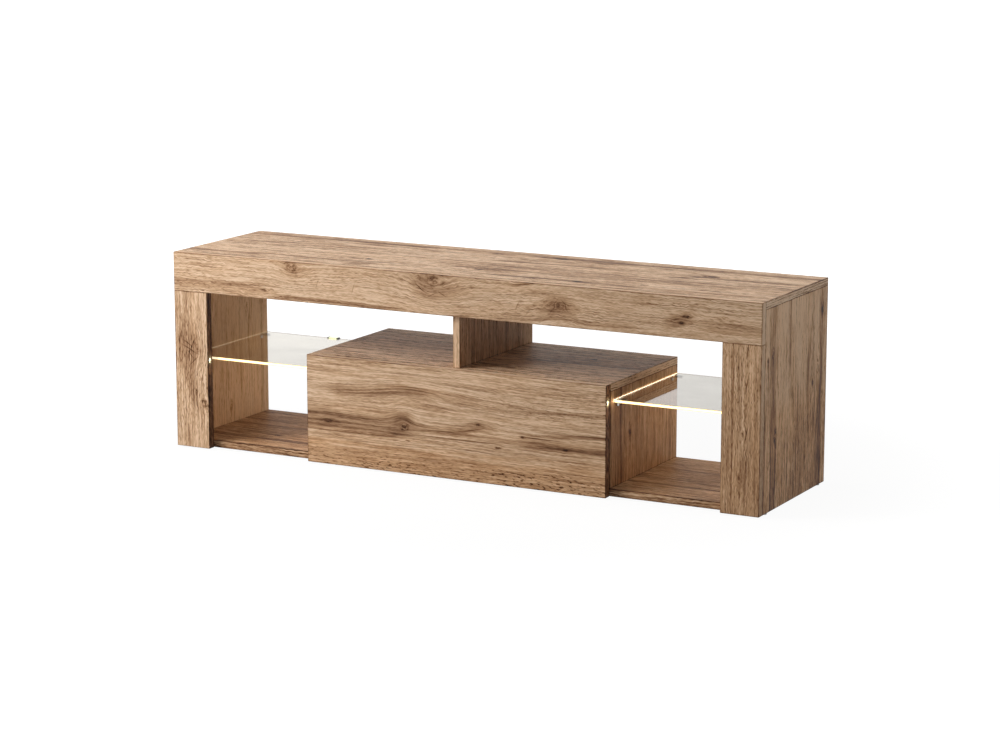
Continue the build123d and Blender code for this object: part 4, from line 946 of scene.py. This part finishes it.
def addGlow(name, place, power, size=None, turn=(0, 0, 0), colour=shelfLight["colour"]):
    holder = addLight(name, power, colour, size, shelfLight["clipRadius"] * mm)
    holder.location, holder.rotation_euler = place, turn
    holder.visible_camera = holder.visible_glossy = holder.visible_transmission = False


for node, (start, end) in bayEnds.items():
    front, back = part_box(node)[0][1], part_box(node)[1][1]
    middle = (start + end) / 2
    size = (end - start - 2 * shelfLight["margin"] * mm, shelfLight["spillHeight"] * mm)
    addGlow(node + "_spill", (middle, front - shelfLight["forward"] * mm, glassMiddle),
            shelfLight["spill"], size, (quarter, 0, 0))
    addGlow(node + "_return", (middle, front - shelfLight["return"] * mm, glassMiddle),
            shelfLight["spill"], size, (-quarter, 0, 0))
    size = (shelfLight["glintSize"] * mm, shelfLight["glintSize"] * mm)
    addGlow(node + "_glint", (start + shelfLight["glintOut"] * mm, shelfLight["glintDeep"] * mm, glassMiddle),
            shelfLight["glint"], size, (0, quarter, 0), shelfLight["glintColour"])
    addGlow(node + "_clip_light",
            (middle, back - shelfLight["clipIn"] * mm, glassMiddle - shelfLight["clipUnder"] * mm),
            shelfLight["clipPower"][node])
print("glass shelves and their lights finished")


# floor, light and camera

studio = {
    "ambient": 0.19, "lampColour": (1.0, 0.985, 0.965),
    "lamps": {
        "key": {"place": (-2.30, -1.75, 1.55), "aim": (-0.2, 0, 0.25), "size": (1.4, 1.2), "power": 83.0},
        "overhead": {"place": (-0.5, -0.4, 2.6), "aim": (-0.1, 0, 0.4), "size": (2.4, 1.6), "power": 17.0},
        "rightFill": {"place": (2.6, 0.3, 3.0), "aim": (0.7, 0, 0.3), "size": (1.4, 1.4), "power": 24.0},
    },
}
floorLook = {
    "size": 60.0, "level": 0.4, "glowReach": (0.6, 2.6), "glow": (1.16, 1.6), "glowShare": 0.8,
    # throughGlass: painted shade on the floor where it is seen through the panes
    "throughGlass": {"loss": 0.45, "leftReach": (-1.06, 0.14), "left": 0.27, "farLine": (0.92, 0.94),
                     "far": 0.02, "farLeft": 0.15},
}


def seenDirectly(tree):
    path = addNode(tree, "ShaderNodeLightPath")
    seen = calc(tree, "MAXIMUM", path.outputs["Is Camera Ray"], path.outputs["Is Glossy Ray"])
    return calc(tree, "MAXIMUM", seen, path.outputs["Is Transmission Ray"])


def makeFloor():
    shape = bmesh.new()
    bmesh.ops.create_grid(shape, x_segments=1, y_segments=1, size=floorLook["size"] / 2)
    level = floorLook["level"]
    material, tree, shader = newMaterial("pale floor", Roughness=0.9, Specular_IOR_Level=0.0,
                                         Base_Color=(level, level, level, 1))
    point = objectPoint(tree)
    strength = ramp(tree, vectorCalc(tree, "LENGTH", point), *floorLook["glowReach"], *floorLook["glow"])
    # painted shade seen through the glass: for transmission rays the floor glows less, more so to the right
    # and short of a line behind the stand, where the stand's shadow falls
    look = floorLook["throughGlass"]
    x, y, _ = split(tree, point)
    toLeft = ramp(tree, x, *look["leftReach"], 1.0, 0.0)
    gain = calc(tree, "MULTIPLY_ADD", toLeft, look["farLeft"], look["far"])
    through = calc(tree, "MULTIPLY_ADD", ramp(tree, y, *look["farLine"]), gain, -look["loss"])
    through = calc(tree, "MULTIPLY_ADD", toLeft, look["left"], through)
    throughGlass = addNode(tree, "ShaderNodeLightPath").outputs["Is Transmission Ray"]
    strength = calc(tree, "MULTIPLY", strength, calc(tree, "MULTIPLY_ADD", through, throughGlass, 1.0))
    glow = addNode(tree, "ShaderNodeEmission")
    tree.links.new(strength, glow.inputs["Strength"])
    share = calc(tree, "MULTIPLY", seenDirectly(tree), floorLook["glowShare"])
    mixShaders(tree, share, shader.outputs[0], glow.outputs[0])
    floor = addObject("floor", finishMesh("floor", shape, [material]))


def makeWorld():
    world = bpy.data.worlds.new("studio")
    world.use_nodes = True
    tree = world.node_tree
    level = studio["ambient"]
    colour = mixColour(tree, seenDirectly(tree), (level, level, level, 1), (1, 1, 1, 1))
    tree.links.new(colour, tree.nodes["Background"].inputs["Color"])
    bpy.context.scene.world = world


def makeLamp(name, lamp):
    holder = addLight(name, lamp["power"], studio["lampColour"], lamp["size"])
    holder.location = lamp["place"]
    holder.rotation_euler = (Vector(lamp["aim"]) - holder.location).to_track_quat("-Z", "Y").to_euler()


camera = {"place": (2.816, -5.265, 1.404), "down": 11.43, "turn": 27.97, "lens": 101.7, "sensor": 36,
          "farthest": 60}


def makeCamera():
    data = bpy.data.cameras.new("camera")
    data.lens = camera["lens"]
    data.sensor_width = camera["sensor"]
    data.clip_end = camera["farthest"]
    holder = addObject("camera", data)
    holder.location = camera["place"]
    holder.rotation_euler = (quarter - math.radians(camera["down"]), 0, math.radians(camera["turn"]))
    bpy.context.scene.camera = holder


makeFloor()
makeWorld()
for name, lamp in studio["lamps"].items():
    makeLamp(name, lamp)
makeCamera()
bpy.context.scene.view_settings.view_transform = "Standard"
print("floor, light and camera placed")
